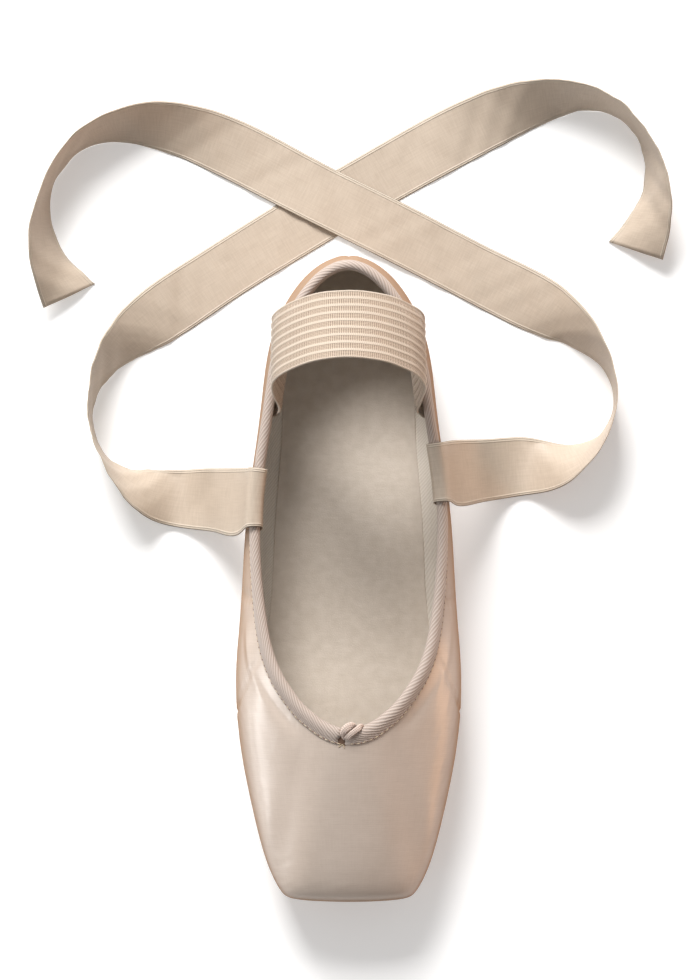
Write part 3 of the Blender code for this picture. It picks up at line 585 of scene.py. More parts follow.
def elastic_finish():
    """Openwork elastic: light cords, and between them a darker net of fine yarns with holes."""
    finish = Finish("openwork_elastic", (0.60, 0.48, 0.38), 0.72, sheen_weight=0.15)
    across, along = finish.cloth_places()
    apart = abs((across + RIB_PITCH * CORDS / 2).repeat(RIB_PITCH) - 0.5) * 2
    cord = apart.rise(0.66, 0.84)
    rungs = (along * (2 * math.pi / 0.78)).cosine()
    lines = (across * (2 * math.pi / 0.62)).cosine()
    net = (rungs * 0.6 + lines * 0.5).rise(-0.75, 0.15)
    fibre = finish.grain(across * 3.0, along * 0.8, 2.0, 0.6)
    shade = finish.mixed(net * 0.75 + fibre * 0.3, (0.30, 0.215, 0.155), (0.56, 0.445, 0.345))
    finish.set(base_color=finish.mixed(cord, shade, (0.58, 0.485, 0.39)))
    finish.set(alpha=cord + (1 - cord) * (net * 0.75 + 0.25))
    finish.set(normal=finish.bump(net * 0.12 + fibre * 0.08))
    return finish.material


def braid_finish():
    """The flat cotton braid of the drawstring."""
    finish = Finish("flat_braid", (0.68, 0.56, 0.49), 0.8, sheen_weight=0.2)
    across, along = finish.cloth_places()
    plait = (along * 5.0 + across * 4.2).sine() * (along * 5.0 - across * 4.2).sine()
    fibre = finish.grain(across * 3.0, along * 3.0, 3.0, 0.6)
    tone = (plait * 0.3 + fibre).rise(0.1, 1.0)
    return finish.dress(tone, (0.50, 0.38, 0.32), (0.76, 0.64, 0.565), plait * 0.05 + fibre * 0.08)


def lining_finish():
    """Plain cotton drill, with a fine diagonal."""
    finish = Finish("cotton_drill", (0.68, 0.61, 0.52), 0.92, sheen_weight=0.15)
    across, along = finish.cloth_places()
    phase = (across * 0.72 + along * 0.70) * (2 * math.pi / 0.95)
    grain = finish.grain(across * 1.6, along * 1.6, 3.0, 0.6)
    broad = finish.grain(across * 0.05, along * 0.05, seed=3.0)
    rib = (phase + grain).sine() * 0.5 + 0.5
    tone = (rib * 0.35 + grain * 0.5 + broad * 0.5).rise(0.3, 1.0)
    return finish.dress(tone, (0.620, 0.550, 0.470), (0.760, 0.700, 0.620), rib * 0.06 + grain * 0.07)


def sock_finish():
    """The insole's sock of pale kid, with a soft grain and a little wear."""
    finish = Finish("pale_sock", (0.70, 0.62, 0.52), 0.75, sheen_weight=0.1)
    x, y, _ = finish.places()
    where = finish.joined(x, y)
    pores = finish.noise(where, 1.9, 4.0, 0.65)
    broad = finish.noise(where, 0.25, 3.0, 0.5)
    creases = finish.grain(x * 0.16, y * 0.55)
    tone = (pores * 0.4 + broad * 0.7).rise(0.3, 0.8)
    finish.set(base_color=finish.mixed(tone, (0.560, 0.485, 0.405), (0.640, 0.565, 0.485)))
    finish.set(roughness=0.62 + pores * 0.2, normal=finish.bump(pores * 0.10 + creases * 0.10))
    return finish.material


def leather_finish():
    """The outsole's split leather, with a nap below and a pared edge."""
    finish = Finish("split_leather", (0.56, 0.43, 0.31), 0.82, sheen_weight=0.2)
    x, y, z = finish.places()
    nap = finish.noise(finish.joined(x, y, z), 2.4, 4.0, 0.7)
    broad = finish.noise(finish.joined(x, y), 0.06, 3.0, 0.5)
    layers = finish.noise(finish.joined(x * 0.3, y * 0.3, z * 5.0), 1.0, 2.0, 0.5)
    tone = (nap * 0.5 + broad * 0.4 + layers * 0.3).rise(0.35, 0.85)
    return finish.dress(tone, (0.43, 0.31, 0.20), (0.64, 0.50, 0.365), nap * 0.12 + layers * 0.06)


def thread_finish(name, dark, pale):
    """Sewing thread with a twist along it."""
    finish = Finish(name, pale, 0.6, sheen_weight=0.1)
    x, y, z = finish.places()
    twist = finish.noise(finish.joined(x, y, z), 4.0, 2.0, 0.6)
    return finish.dress(twist.rise(0.3, 0.7), dark, pale, twist * 0.1)


def piece_of(name, mesh, material, slot, *nodes):
    """A finished piece that rides on the shoe, takes this material and stands for these solids; its slot is
    not used.
    """
    obj = bpy.data.objects.new(name, mesh)
    bpy.context.scene.collection.objects.link(obj)
    mesh.materials.append(material)
    mesh.polygons.foreach_set("use_smooth", [True] * len(mesh.polygons))
    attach(obj, "root")
    if nodes:
        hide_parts(*nodes)
    return obj


def cloth_mesh(name, columns, rows, place, round_columns=False):
    """A woven grid laid where place puts it, with its own map in millimetres.

    place takes shares across and along and returns points and the map's distances."""
    bm = bmesh.new()
    bmesh.ops.create_grid(bm, x_segments=columns, y_segments=rows, size=0.5)
    flat = np.array([vert.co for vert in bm.verts])
    points, over = place(flat[:, 0] + 0.5, flat[:, 1] + 0.5)
    layer = bm.loops.layers.uv.new("cloth")
    for vert, where in zip(bm.verts, points):
        vert.co = where
    for face in bm.faces:
        for loop in face.loops:
            loop[layer].uv = over[loop.vert.index]
    if round_columns:
        bmesh.ops.remove_doubles(bm, verts=bm.verts, dist=2e-6)
    mesh = bpy.data.meshes.new(name)
    bm.to_mesh(mesh)
    bm.free()
    return mesh


def grid_mesh(name, points, over, round_columns=False):
    """A woven grid from points given across and along, with the map's distances for each."""

    def place(across, along):
        i = np.rint(across * (len(points) - 1)).astype(int)
        j = np.rint(along * (points.shape[1] - 1)).astype(int)
        return points[i, j], over[i, j] / MM

    return cloth_mesh(name, len(points) - 1, points.shape[1] - 1, place, round_columns)


def pairs(across, along):
    """The map's distances for a grid, from those across and those along."""
    return np.stack(np.broadcast_arrays(across, along), axis=-1)


def thicken(obj, thick, offset):
    cloth = obj.modifiers.new("cloth", "SOLIDIFY")
    cloth.thickness = thick
    cloth.offset = offset
    return obj


def arc(points):
    """Distances along a line of points."""
    return np.concatenate([[0], np.cumsum(np.linalg.norm(np.diff(points, axis=0), axis=1))])


def waver(value, seed, count=5):
    """A smooth wander between -1 and 1, the same each time for a seed."""
    rng = np.random.default_rng(seed)
    total = 0
    for turn in range(count):
        total = total + np.sin(value * rng.uniform(0.6, 2.2) * (1 + turn * 0.6) + rng.uniform(0, 6.3))
    return total / count


def turns_of(at):
    """Places round the ring counted from the toe's middle, less than 0 on the left."""
    at = np.mod(at, RING_ROWS)
    return np.where(at > HEEL_ROW, at - RING_ROWS, at)


def pleats(at, share):
    """Folds of the satin drawn in under the toe, fading at the platform and into the outsole."""
    turns = turns_of(at)
    fade = 1 - smooth_step(np.abs(turns), 6.0, 8.6)
    fade = fade * smooth_step(1 - share, 0.30, 0.56) * (1 - smooth_step(1 - share, 0.86, 1.0))
    fold = np.mod(turns * PLEATS_A_PLACE + 0.10 * waver(turns * 3, 4), 1)
    profile = np.where(fold < PLEAT_RISE, fold / PLEAT_RISE, (1 - fold) / (1 - PLEAT_RISE))
    return 0.85 * MM * fade * profile**0.8


def wing_folds(turns, below):
    """A flat fall beside the binding at the ball, and the crease where the satin puffs out, in metres."""
    side = np.abs(turns)
    fall = np.interp(side, WING_PLACES, WING_FALL)
    strong = np.interp(side, (4.6, 5.8, 6.6, 9.6, 10.6), (0, 0.6, 1, 1, 0)) * np.where(turns < 0, 1, 0.55)
    wide = np.interp(side, (4.6, 6.4, 8.5, 10.0), (3.0, 4.2, 5.2, 5.4)) * MM
    over = below - wide
    puff = 0.50 * MM * smooth_step(over, -0.2 * MM, 2.4 * MM) * (1 - smooth_step(over, 3.0 * MM, 28 * MM))
    back = 1 - smooth_step(over, 0, 6.0 * MM)
    return strong * (-fall * np.clip(below, 0, wide) * back + puff)


def satin_relief(at, down, share):
    """How far the satin stands off the smooth last, in metres."""
    turns = turns_of(at)
    below = down - BINDING_WIDTH
    relief = pleats(at, share) + wing_folds(turns, below)
    # Small gathers under the binding's stitches
    gather = waver(turns * 2.4 * 2.3, 11, 6) * 0.03 * MM
    relief = relief + gather * hump(below, 0.8 * MM, 6.0 * MM) * smooth_step(np.abs(turns), 1.0, 4.0)
    # Drawn folds that leave the binding at the wings
    for place, lean, width, reach, depth in WING_CREASES:
        line = turns - place - lean * below / (10 * MM)
        relief = relief - depth * MM * hump(line, 0, width) * hump(below, 0.3 * reach * MM, reach * MM)
    # The seam of vamp and quarter on each side, and the heel seam
    seam = np.abs(turns) - (SIDE_SEAM - SIDE_SEAM_LEAN * (2 - share).clip(0, 2) / 2)
    puckers = 0.10 * MM * np.sin(down / (1.5 * MM) * 2 * math.pi) * hump(seam, 0, 0.42)
    relief = relief - 0.42 * MM * hump(seam, 0, 0.10) + puckers
    heel = HEEL_ROW - np.abs(turns)
    relief = relief - 0.35 * MM * hump(heel, 0, 0.10) + 0.12 * MM * hump(heel, 0.30, 0.22)
    # Soft unevenness of cloth pulled over paste
    paste = waver(turns * 1.1 + 40 * down, 21, 4) * waver(down * 260 + turns * 0.6, 22, 4)
    return relief + 0.10 * MM * paste * smooth_step(below, 2 * MM, 12 * MM)


def upper_rows(at, upper_shares, lower_shares, soft):
    """Distances down each rib and its shares, from the edge through the binding's band to the feather."""
    lengths = ribs_at(at, soft)[2]
    foot = np.array([np.interp(BINDING_WIDTH, row[::-1], STEPS[::-1]) for row in lengths])[:, None]
    over = 1 + (foot - 1) * upper_shares
    share = np.concatenate([over, np.tile(lower_shares, (len(at), 1))], axis=1)
    down = np.array([np.interp(places, STEPS, row) for places, row in zip(share, lengths)])
    band = np.tile(np.array([0, 0.35, 0.7]) * BINDING_WIDTH, (len(at), 1))
    return np.concatenate([band, down], axis=1), np.concatenate([np.full_like(band, 2), share], axis=1)


def ring_columns(fine, coarse):
    """Places round the ring, closer together at the toe, and the two ends of the seam at the heel."""
    toe = np.arange(-9, 9, fine)
    sides = np.arange(9, RING_ROWS - 9 + coarse / 2, coarse)
    at = np.concatenate([toe, sides])
    start = int(np.argmax(at >= HEEL_ROW))
    return np.concatenate([at[start:] - RING_ROWS, at[: start + 1]])


def satin_upper(material):
    at = ring_columns(0.075, 0.11)
    down, share = upper_rows(at, np.linspace(1, 0, 46), np.linspace(1, 0, 30)[1:], False)
    relief = satin_relief(np.broadcast_to(at[:, None], down.shape), down, share)
    points = wall(at[:, None], down, relief).reshape(*down.shape, 3)
    # The map is the plan, let out down the sides and down the toe's end
    x, y, z = np.moveaxis(points, -1, 0)
    front = smooth_step(-y, 0.1135, 0.1195)
    over = pairs(x * (1 + (THROAT_HEIGHT - z) / np.maximum(np.abs(x), 0.022)), y + front * (z - 0.030))
    mesh = grid_mesh("satin_upper", points[:, ::-1], over[:, ::-1], True)
    return thicken(piece_of("satin_upper", mesh, material, "satin", "upper"), 0.5 * MM, -1)


def lining(material):
    """The cotton lining, from under the binding down to the insole and into the box."""
    at = ring_columns(0.14, 0.14)
    down, _ = upper_rows(at, 1 - np.linspace(0, 1, 26), np.linspace(1, 0, 18)[1:], True)
    plain = wall(at[:, None], down, 0, True)
    thick = wall_thickness(plain[:, 1] / LENGTH + 0.5, down.ravel()).reshape(down.shape)
    turns = turns_of(np.broadcast_to(at[:, None], down.shape))
    rumple = 0.25 * MM * waver(turns * 1.3 + down * 60, 31, 4) * smooth_step(down, 6 * MM, 18 * MM)
    heel_tape = 0.35 * MM * (1 - smooth_step(HEEL_ROW - np.abs(turns), 0.55, 0.62))
    seam = 0.30 * MM * hump(np.abs(turns), LINING_SEAM, 0.12)
    points = wall(at[:, None], down, -(thick + rumple + heel_tape + seam), True).reshape(*down.shape, 3)
    around = np.array([arc(row) for row in points.transpose(1, 0, 2)]).T
    fall = np.array([arc(row) for row in points])
    mesh = grid_mesh("cotton_lining", points, pairs(around[:, :1], fall), True)
    return thicken(piece_of("cotton_lining", mesh, material, "lining", "upper"), 0.4 * MM, -1)


def binding(material):
    """The twill casing, from the notch's right end round the heel to its left end."""
    section = along_spline(spline(CASING_SECTION, False), np.linspace(0, len(CASING_SECTION) - 1, 34)) * MM
    count = 640
    dense = np.linspace(0, RING_ROWS, 1600)
    lengths = arc(skin(dense, np.full(len(dense), BINDING_WIDTH / 2)))
    at = np.interp(np.linspace(0, lengths[-1], count), lengths, dense)
    travel = np.interp(at, dense, lengths)
    down = np.broadcast_to(section[:, 0], (count, len(section))).copy()
    out = np.broadcast_to(section[:, 1], down.shape).copy()
    # The ends part in a small pointed notch beside the throat's middle
    fall = down / BINDING_WIDTH
    gap = (NOTCH_FOOT + (NOTCH_WIDTH - NOTCH_FOOT) * hump(fall, 0.68, 0.62)) * MM
    middle = (NOTCH_PLACE + 0.2 * fall) * MM
    from_right, from_left = travel[:, None], lengths[-1] - travel[:, None]
    near_right, near_left = (1 - smooth_step(end, 0, 22 * MM) for end in (from_right, from_left))
    places = at[:, None] + (near_right * (middle + gap) + near_left * (middle - gap)) / THROAT_PITCH
    # Folded ends
    tuck = smooth_step(np.minimum(from_right, from_left), -0.2 * MM, 1.0 * MM)
    centre = -EDGE_WALL / 2
    out = np.where(down > 0, out * (0.3 + 0.7 * tuck), centre + (out - centre) * (0.3 + 0.7 * tuck))
    wave = 0.10 * MM * waver(np.linspace(0, 60, count), 41)[:, None]
    out = out + wave * (out > 0)
    points = wall(places, down, out).reshape(*down.shape, 3)
    over = pairs(travel[:, None], BINDING_WIDTH - arc(section))
    mesh = grid_mesh("binding_casing", points[:, ::-1], over[:, ::-1])
    return piece_of("binding_casing", mesh, material, "twill", "binding")


def beads(name, material, slot, placed, size):
    """Small stitches: a bead of this size in millimetres for each place, turned along its own line."""
    bm = bmesh.new()
    stretch = Matrix.Diagonal((*(part * MM for part in size), 1))
    for where, forward, up in zip(*placed):
        side = np.cross(up, forward)
        turn = Matrix([list(forward), list(side), list(up)]).transposed().to_4x4()
        bmesh.ops.create_icosphere(
            bm, subdivisions=1, radius=1.0, matrix=Matrix.Translation(Vector(where)) @ turn @ stretch
        )
    mesh = bpy.data.meshes.new(name)
    bm.to_mesh(mesh)
    bm.free()
    return piece_of(name, mesh, material, slot)


def wall_frame(at, down, out):
    """Places on the wall, and the directions there along the topline and outward."""
    where = wall(at, down, out)
    ahead = unit(wall(at + NEAR, down, out) - wall(at - NEAR, down, out))
    up = wall(at, down, out + MM) - where
    return where, ahead, unit(up - ahead * np.sum(up * ahead, axis=1)[:, None])


def stitch_row(level, shift=0.0):
    """Evenly spaced places along the topline at this distance below the edge, with their directions."""
    dense = np.linspace(0, RING_ROWS, 1600)
    lengths = arc(wall(dense, level, CHAIN_OUT))
    count = int(lengths[-1] / CHAIN_PITCH)
    travel = (np.arange(count) + 0.5 + shift) / count * lengths[-1]
    travel = travel[(travel < lengths[-1] - 3.3 * MM) & (travel > -1.3 * MM)]
    return wall_frame(np.interp(travel, lengths, dense), level, CHAIN_OUT)


def binding_stitches(thread, hole):
    """The chain stitch along the binding's lower edge: pale loops, and between them a dark bead painted as
    the shade in a needle hole.
    """
    level = BINDING_WIDTH - CHAIN_INSET
    beads("binding_thread", thread, "twill", stitch_row(level), CHAIN_STITCH)
    # Painted shade: each needle hole is a small dark bead that stands in for the shade inside the hole.
    beads("needle_hole_shades", hole, "twill", stitch_row(level - 0.05 * MM, 0.5), NEEDLE_HOLE_SHADE)
    # The last stitches cross below the notch, and their two ends are left short
    crossing = []
    for across, below, turned in CROSSED_THREADS:
        at = np.array([across * MM / THROAT_PITCH])
        middle, ahead, up = (row[0] for row in wall_frame(at, BINDING_WIDTH + below * MM, 0.16 * MM))
        angle = math.radians(turned)
        crossing.append((middle, ahead * math.cos(angle) + np.cross(up, ahead) * math.sin(angle), up))
    beads("crossed_threads", thread, "twill", zip(*crossing), CHAIN_STITCH)


def casing_shade_sheet(material):
    """A small dark sheet, painted as the shade inside the casing, seen through the notch where the drawstring
    comes out.
    """

    def place(across, up):
        x = (NOTCH_PLACE + 0.1 + (across - 0.5) * 3.0) * MM
        down = (up * 1.15 - 0.12) * BINDING_WIDTH
        hollow = 0.10 * MM - 0.22 * MM * np.sin(across * math.pi)
        return wall(x / THROAT_PITCH, down, hollow), np.stack([x, down], axis=1) / MM

    mesh = cloth_mesh("casing_shade_sheet", 14, 12, place)
    return thicken(piece_of("casing_shade_sheet", mesh, material, "twill"), 0.12 * MM, -1)


def knot_strand(side, material):
    """One flat strand of the tied drawstring, rounded over the binding."""
    rows = np.array(KNOT_STRANDS[side])
    fine = along_spline(spline(rows, False), np.linspace(0, len(rows) - 1, 60))
    middle = wall(0.0, fine[:, 1] * MM, fine[:, 2] * MM)
    middle[:, 0] += fine[:, 0] * MM
    forward = unit(np.gradient(middle, axis=0))
    outward = wall(0.0, fine[:, 1] * MM, fine[:, 2] * MM + MM) - wall(0.0, fine[:, 1] * MM, fine[:, 2] * MM)
    sideways = unit(np.cross(outward, forward))
    outward = np.cross(forward, sideways)
    travel = arc(middle)
    ends = np.minimum(travel, travel[-1] - travel)
    close = np.clip(ends / (0.8 * MM), 0.02, 1) ** 0.5

    def place(across, along):
        i = np.rint(along * (len(fine) - 1)).astype(int)
        turn = across * 2 * math.pi
        wide = np.sign(np.cos(turn)) * np.abs(np.cos(turn)) ** 0.75 * fine[i, 3] / 2 * MM * close[i]
        high = np.sign(np.sin(turn)) * np.abs(np.sin(turn)) ** 0.85 * fine[i, 4] / 2 * MM * close[i]
        points = middle[i] + sideways[i] * wide[:, None] + outward[i] * high[:, None]
        return points, np.stack([wide, travel[i]], axis=1) / MM

    mesh = cloth_mesh("knot_strand_" + side, 24, len(fine) - 1, place, True)
    return piece_of("knot_strand_" + side, mesh, material, "drawstring", f"drawstring_{side}_end")


def over_the_edge(thick):
    """Off the wall inside, and past the casing, for a band sewn inside the quarter."""
    inside = -EDGE_WALL - 2 * GAP - thick / 2
    past_casing = -EDGE_WALL / 2 - CASING_RADIUS - 2 * GAP - thick / 2
    return inside, past_casing


def ribbon_rows(side, offsets):
    """Rows across a ribbon, from its sewn end over the binding and along the floor."""
    sign = -1 if side == "left" else 1
    inside, past_casing = over_the_edge(RIBBON_THICK)
    crest = -GAP - CASING_RADIUS * 0.9 - 2 * GAP - RIBBON_THICK
    outside = CASING_RADIUS - EDGE_WALL / 2 + 2 * GAP + RIBBON_THICK
    steps = (
        (RIBBON_SEWN, inside),
        (RIBBON_SEWN * 0.66, inside),
        (BINDING_INSIDE + 0.0030, inside - 0.0006),
        (BINDING_INSIDE * 0.55, past_casing),
        (0.0002, past_casing),
        (crest * 0.82, past_casing * 0.62),
        (crest, -EDGE_WALL / 2),
        (crest * 0.80, outside * 0.75),
        (0.0006, outside + 0.0003),
        (0.0060, outside + 0.0004),
        (0.0120, outside + 0.0014),
    )
    place = RIBBON_PLACES[side]
    at = np.array([place_of(place + offset / LENGTH, sign) for offset in offsets])
    rows = [wall(at, down, out) for down, out in steps]
    route = RIBBON_ROUTES[side]
    start = np.array([route[0][0], route[0][1] - LENGTH / 2])
    hang = rows[-1]
    for share, height in ((0.30, 0.0175), (0.62, 0.0060)):
        flat = np.array([[start[0], start[1] + offset, 0] for offset in offsets])
        fall = hang * (1 - share) + flat * share
        fall[:, 2] = height
        rows.append(fall)
    return rows + floor_rows(route, offsets, sign)


def floor_rows(route, offsets, sign):
    """Rows across a ribbon along its route, each turned from flat by its tilt and resting on the floor."""
    centres = np.array([(x, along - LENGTH / 2) for x, along, tilt, lift in route])
    headings = unit(np.gradient(centres, axis=0))
    rows = []
    for (x, y), heading, (_, _, tilt, lift) in zip(centres, headings, route):
        tilt = math.radians(tilt)
        across = np.array([heading[1], -heading[0]]) * -sign
        rise = RIBBON_WIDTH / 2 * math.sin(tilt) + RIBBON_THICK * 0.7 + lift
        flat = math.cos(tilt)
        spread = offsets[:, None] * across * flat
        rows.append(np.column_stack([(x, y) + spread, rise - offsets * math.sin(tilt)]))
    return rows


def band(name, rows, offsets, fine, ripple, thick, material, slot, node):
    """A woven band through rows of points across it, with ripples and its own map."""
    rows = np.asarray(rows, float)
    count, width = rows.shape[:2]
    curve = spline(rows.reshape(count, -1), False)
    places = np.linspace(0, count - 1, (count - 1) * fine + 1)
    points = along_spline(curve, places).reshape(-1, width, 3)
    normal = unit(np.cross(np.gradient(points, axis=0), np.gradient(points, axis=1)))
    travel = arc(points[:, width // 2])
    points = points + normal * ripple(places[:, None], travel[:, None], offsets[None, :])[..., None]
    points[:, :, 2] = np.maximum(points[:, :, 2], thick * 0.7)
    mesh = grid_mesh(name, points.transpose(1, 0, 2), pairs(offsets[:, None], travel))
    obj = thicken(piece_of(name, mesh, material, slot, node), thick, 0)
    return obj, float(travel[-1])


def ribbon(side, material):
    offsets = np.linspace(-0.5, 0.5, 25) * RIBBON_WIDTH
    seed = 51 if side == "left" else 52

    def ripple(places, travel, offset):
        laid = smooth_step(places, 12.5, 14.5)
        slow = waver(travel * 120 + offset * 90, seed, 4) * 0.45 * MM
        crease = waver(travel * 330 - offset * 260, seed + 7, 3) * 0.16 * MM
        sag = -0.35 * MM * np.cos(math.pi * offset / RIBBON_WIDTH)
        return laid * (slow + crease + sag * waver(travel * 60, seed + 3, 3))

    name = "ribbon_" + side
    rows = ribbon_rows(side, offsets)
    obj, length = band(name + "_satin", rows, offsets, 14, ripple, 0.36 * MM, material, "ribbon", name)


def ankle_elastic(material):
    """The ribbed elastic's arch, with its cords raised from the net."""
    inside, past_casing = over_the_edge(ELASTIC_THICK)
    offsets = np.linspace(-0.5, 0.5, 73) * ELASTIC_WIDTH
    lean = math.radians(ELASTIC_LEAN)
    steps = (
        (0.0200, inside),
        (0.0125, inside - 0.0007),
        (BINDING_INSIDE, past_casing - 0.0004),
        (0.0000, past_casing - 0.0008),
        (-0.0050, past_casing - 0.0006),
    )

    def end_rows(sign):
        found = []
        for down, out in steps:
            along = ELASTIC_PLACE + (offsets * math.cos(lean) - down * math.sin(lean) / 2) / LENGTH
            found.append(wall(np.array([place_of(share, sign) for share in along]), down, out))
        return found

    left, right = end_rows(-1), end_rows(1)
    base = (right[-1] + left[-1]) / 2
    middle = len(offsets) // 2
    arch = []
    for turn in np.radians([-66, -44, -22, 0, 22, 44, 66]):
        rise = math.cos(turn) ** 0.75
        lift = (ELASTIC_TOP - base[middle, 2]) * rise
        x = ELASTIC_HALF * math.sin(turn) / math.sin(math.radians(78))
        y = base[:, 1] + lift * math.tan(lean) * 0.8
        z = base[middle, 2] + lift - offsets * math.sin(lean) * rise
        z = z + (base[:, 2] - base[middle, 2]) * (1 - rise)
        arch.append(np.stack([np.full(len(y), x), y, z], axis=1))

    def ripple(places, travel, offset):
        apart = np.mod(offset / MM + RIB_PITCH * CORDS / 2, RIB_PITCH) / RIB_PITCH
        cord = hump(np.minimum(apart, 1 - apart), 0, 0.17)
        bow = waver(travel * 160 + offset * 60, 61, 3) * 0.25 * MM
        return cord * 0.42 * MM + bow

    rows = left + arch + right[::-1]
    name = "ankle_elastic"
    obj, length = band(name + "_net", rows, offsets, 12, ripple, 0.7 * MM, material, "elastic", name)


def outline_places(at):
    """Half widths and y of the outsole's outline beside these places round the ring."""
    rows = [row[7:9] for row in TOE_RIBS] + [row[6:8] for row in BODY_RIBS]
    length = LENGTH - OUTSOLE_FRONT - OUTSOLE_BACK
    front = OUTSOLE_FRONT - LENGTH / 2
    points = [(half * OUTSOLE_WIDTH / 2, front + along * length) for along, half in rows]
    mirrored = [(-half, y) for half, y in points[-2:0:-1]]
    return along_spline(spline(points + mirrored, True), at)


def inner_outline(at, rise):
    """Half widths and y of the inner wall where it has risen this high above the board's underside."""
    found = []
    steps = np.linspace(1, 0, 90)
    lengths = ribs_at(at, True)[2][:, 0]
    for place, length in zip(at, lengths):
        down = steps * length
        plain = wall(place, down, 0, True)
        inside = wall(place, down, -wall_thickness(plain[:, 1] / LENGTH + 0.5, down), True)
        along = inside[:, 1] / LENGTH + 0.5
        risen = inside[:, 2] - feather_height(along) - wall_thickness(along, 1.0) - 3 * GAP
        first = int(np.argmax(risen > rise))
        share = (rise - risen[first - 1]) / (risen[first] - risen[first - 1])
        found.append((inside[first - 1] + share * (inside[first] - inside[first - 1]))[:2])
    return np.array(found)


def sole_mesh(name, ring, height, columns):
    """A plate inside an outline of half widths and y, at the height that its places give."""
    half, y = np.abs(ring[:, 0]), ring[:, 1]

    def place(across, along):
        i = np.rint(along * (len(ring) - 1)).astype(int)
        side = np.sin((across - 0.5) * math.pi)
        x = side * half[i]
        return np.stack([x, y[i], height(x, y[i], half[i])], axis=1), np.stack([x, y[i]], axis=1) / MM

    return cloth_mesh(name, columns, len(ring) - 1, place)


def outsole(material):
    ring = outline_places(np.linspace(0, HEEL_ROW, 121))

    def height(x, y, half):
        return sole_rise(y / LENGTH + 0.5) + OUTSOLE_THICK

    mesh = sole_mesh("leather_outsole", ring, height, 22)
    obj = piece_of("leather_outsole", mesh, material, "leather", "outsole")
    thicken(obj, OUTSOLE_THICK - 0.02 * MM, -1)
    edge = obj.modifiers.new("edge", "BEVEL")
    edge.width = 0.5 * MM
    edge.segments = 2
    edge.limit_method = "ANGLE"
    edge.angle_limit = math.radians(50)
    return obj


def insole(material):
    ring = inner_outline(np.linspace(0, HEEL_ROW, 81), INSOLE_THICK)

    def height(x, y, half):
        along = y / LENGTH + 0.5
        edge = np.abs(x) / np.maximum(half, 1e-6)
        board = feather_height(along) + wall_thickness(along, 1.0) + 3 * GAP + INSOLE_THICK
        rim = 0.35 * MM * smooth_step(edge, 0.90, 1.0)
        return board + rim - 0.5 * MM * hump(along, 0.9, 0.08) * (1 - edge**2)

    mesh = sole_mesh("insole_sock", ring * 0.995, height, 30)
    return thicken(piece_of("insole_sock", mesh, material, "lining", "insole"), 1.6 * MM, -1)


def sewn_ends(thread):
    """The stitches that hold each ribbon and the elastic inside the quarters."""
    placed = []

    def stitch(at, down, out, toward):
        middle = wall(at, down, out)[0]
        along = unit(wall(at + toward[0], down + toward[1], out)[0] - middle)
        away = wall(at, down, out - MM)[0] - middle
        placed.append((middle, along, unit(away - along * np.dot(away, along))))

    def box(place, sign, half, top, bottom, out, lean):
        pitch = 2.4 * MM
        ends = [
            (offset, level, (0.05 * sign, 0))
            for level in (top, bottom)
            for offset in np.arange(-half, half + 0.1 * MM, pitch)
        ]
        sides = [
            (offset, level, (0, 0.3 * MM))
            for offset in (-half, half)
            for level in np.arange(top + 2.2 * MM, bottom - 1 * MM, pitch)
        ]
        for offset, level, toward in ends + sides:
            along = place + (offset * math.cos(lean) - level * math.sin(lean) / 2) / LENGTH
            stitch(place_of(along, sign), level, out, toward)

    inside = -EDGE_WALL - 2 * GAP
    lean = math.radians(ELASTIC_LEAN)
    for side, sign in (("left", -1), ("right", 1)):
        box(RIBBON_PLACES[side], sign, 9.6 * MM, 12.5 * MM, 22.5 * MM, inside - 0.75 * MM, 0)
        box(ELASTIC_PLACE, sign, 12.6 * MM, 13.0 * MM, 19.0 * MM, inside - 1.55 * MM, lean)
    beads("sewing_thread", thread, "lining", zip(*placed), HAND_STITCH)


def light(name, energy, colour, size, where, target):
    lamp = bpy.data.lights.new(name, "AREA")
    lamp.energy = energy
    lamp.color = colour
    lamp.shape = "RECTANGLE"
    lamp.size, lamp.size_y = size
    obj = bpy.data.objects.new(name, lamp)
    bpy.context.scene.collection.objects.link(obj)
    obj.location = where
    obj.rotation_euler = (Vector(target) - Vector(where)).to_track_quat("-Z", "Y").to_euler()


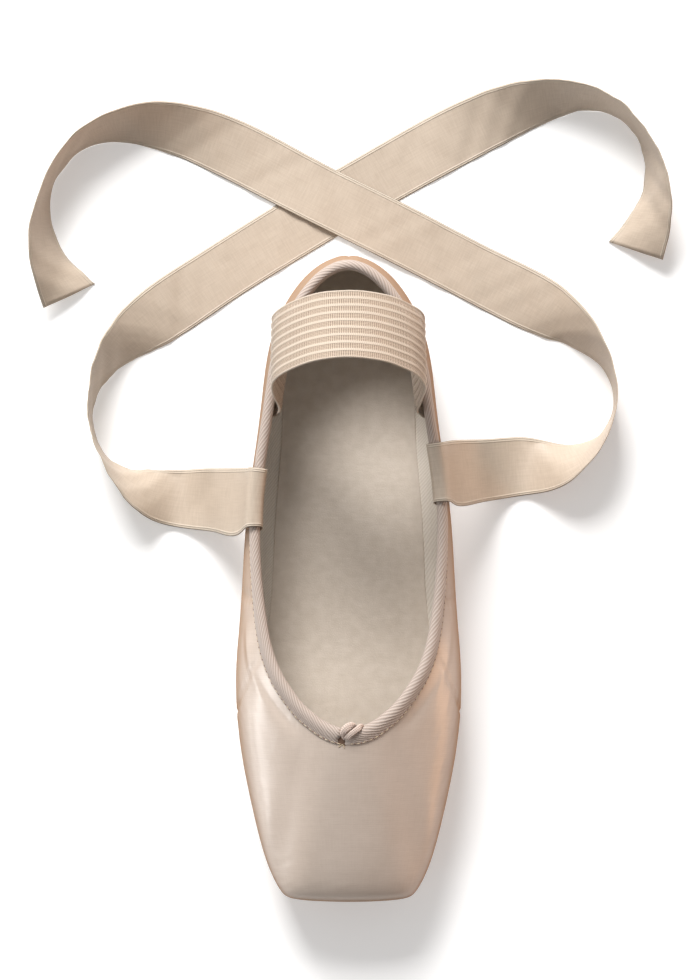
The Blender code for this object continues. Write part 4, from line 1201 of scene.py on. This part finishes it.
def studio():
    """A white floor, a softbox high behind the heel, low ones far out at the sides, and the camera above."""
    bm = bmesh.new()
    bmesh.ops.create_grid(bm, x_segments=1, y_segments=1, size=FLOOR_HALF)
    mesh = bpy.data.meshes.new("floor")
    bm.to_mesh(mesh)
    bm.free()
    floor = bpy.data.objects.new("floor", mesh)
    bpy.context.scene.collection.objects.link(floor)
    lit = Finish("studio_floor", (0.90, 0.90, 0.90), 0.25, emission_strength=FLOOR_GLOW)
    lit.set(emission_color=(1.0, 1.0, 1.0, 1.0))
    mesh.materials.append(lit.material)

    world = bpy.data.worlds.new("studio")
    world.use_nodes = True
    tree = world.node_tree
    where = tree.nodes.new("ShaderNodeTexCoord")
    tree.nodes["Background"].inputs["Color"].default_value = (1.0, 1.0, 1.0, 1.0)
    toward = tree.nodes.new("ShaderNodeVectorMath")
    toward.operation = "DOT_PRODUCT"
    toward.inputs[1].default_value = SKY_TOWARD
    fall = tree.nodes.new("ShaderNodeMapRange")
    fall.interpolation_type = "SMOOTHSTEP"
    fall.inputs["From Min"].default_value, fall.inputs["From Max"].default_value = SKY_SPREAD
    fall.inputs["To Min"].default_value, fall.inputs["To Max"].default_value = SKY_STRENGTH
    tree.links.new(where.outputs["Generated"], toward.inputs[0])
    tree.links.new(toward.outputs["Value"], fall.inputs["Value"])
    tree.links.new(fall.outputs[0], tree.nodes["Background"].inputs["Strength"])
    bpy.context.scene.world = world
    bpy.context.scene.view_settings.view_transform = "Standard"

    for name, settings in LIGHTS.items():
        light(name, *settings)

    camera = bpy.data.cameras.new("camera")
    camera.sensor_fit = "VERTICAL"
    camera.sensor_height = CAMERA_SENSOR
    camera.lens = CAMERA_SENSOR * CAMERA_DISTANCE / PICTURE_HEIGHT
    camera.clip_start, camera.clip_end = 0.05, 20
    obj = bpy.data.objects.new("camera", camera)
    bpy.context.scene.collection.objects.link(obj)
    obj.location = (0.0005, 0.033, CAMERA_DISTANCE + 0.03)
    bpy.context.scene.camera = obj


def main():
    studio()
    satin_upper(satin_finish())
    lining(lining_finish())
    binding(twill_finish())
    pale = thread_finish("pale_thread", (0.50, 0.38, 0.24), (0.80, 0.68, 0.50))
    # The needle holes' dark colour is painted shade.
    hole = thread_finish("painted_hole_shade", (0.17, 0.08, 0.05), (0.28, 0.15, 0.10))
    binding_stitches(pale, hole)
    # A dark sheet painted as the shade inside the casing's mouth.
    casing_shade_sheet(thread_finish("shaded_twill", (0.10, 0.055, 0.035), (0.22, 0.13, 0.085)))
    braid = braid_finish()
    for side in ("left", "right"):
        knot_strand(side, braid)
    ribbon_cloth = ribbon_finish()
    for side in ("left", "right"):
        ribbon(side, ribbon_cloth)
    ankle_elastic(elastic_finish())
    outsole(leather_finish())
    insole(sock_finish())
    sewn_ends(pale)


main()
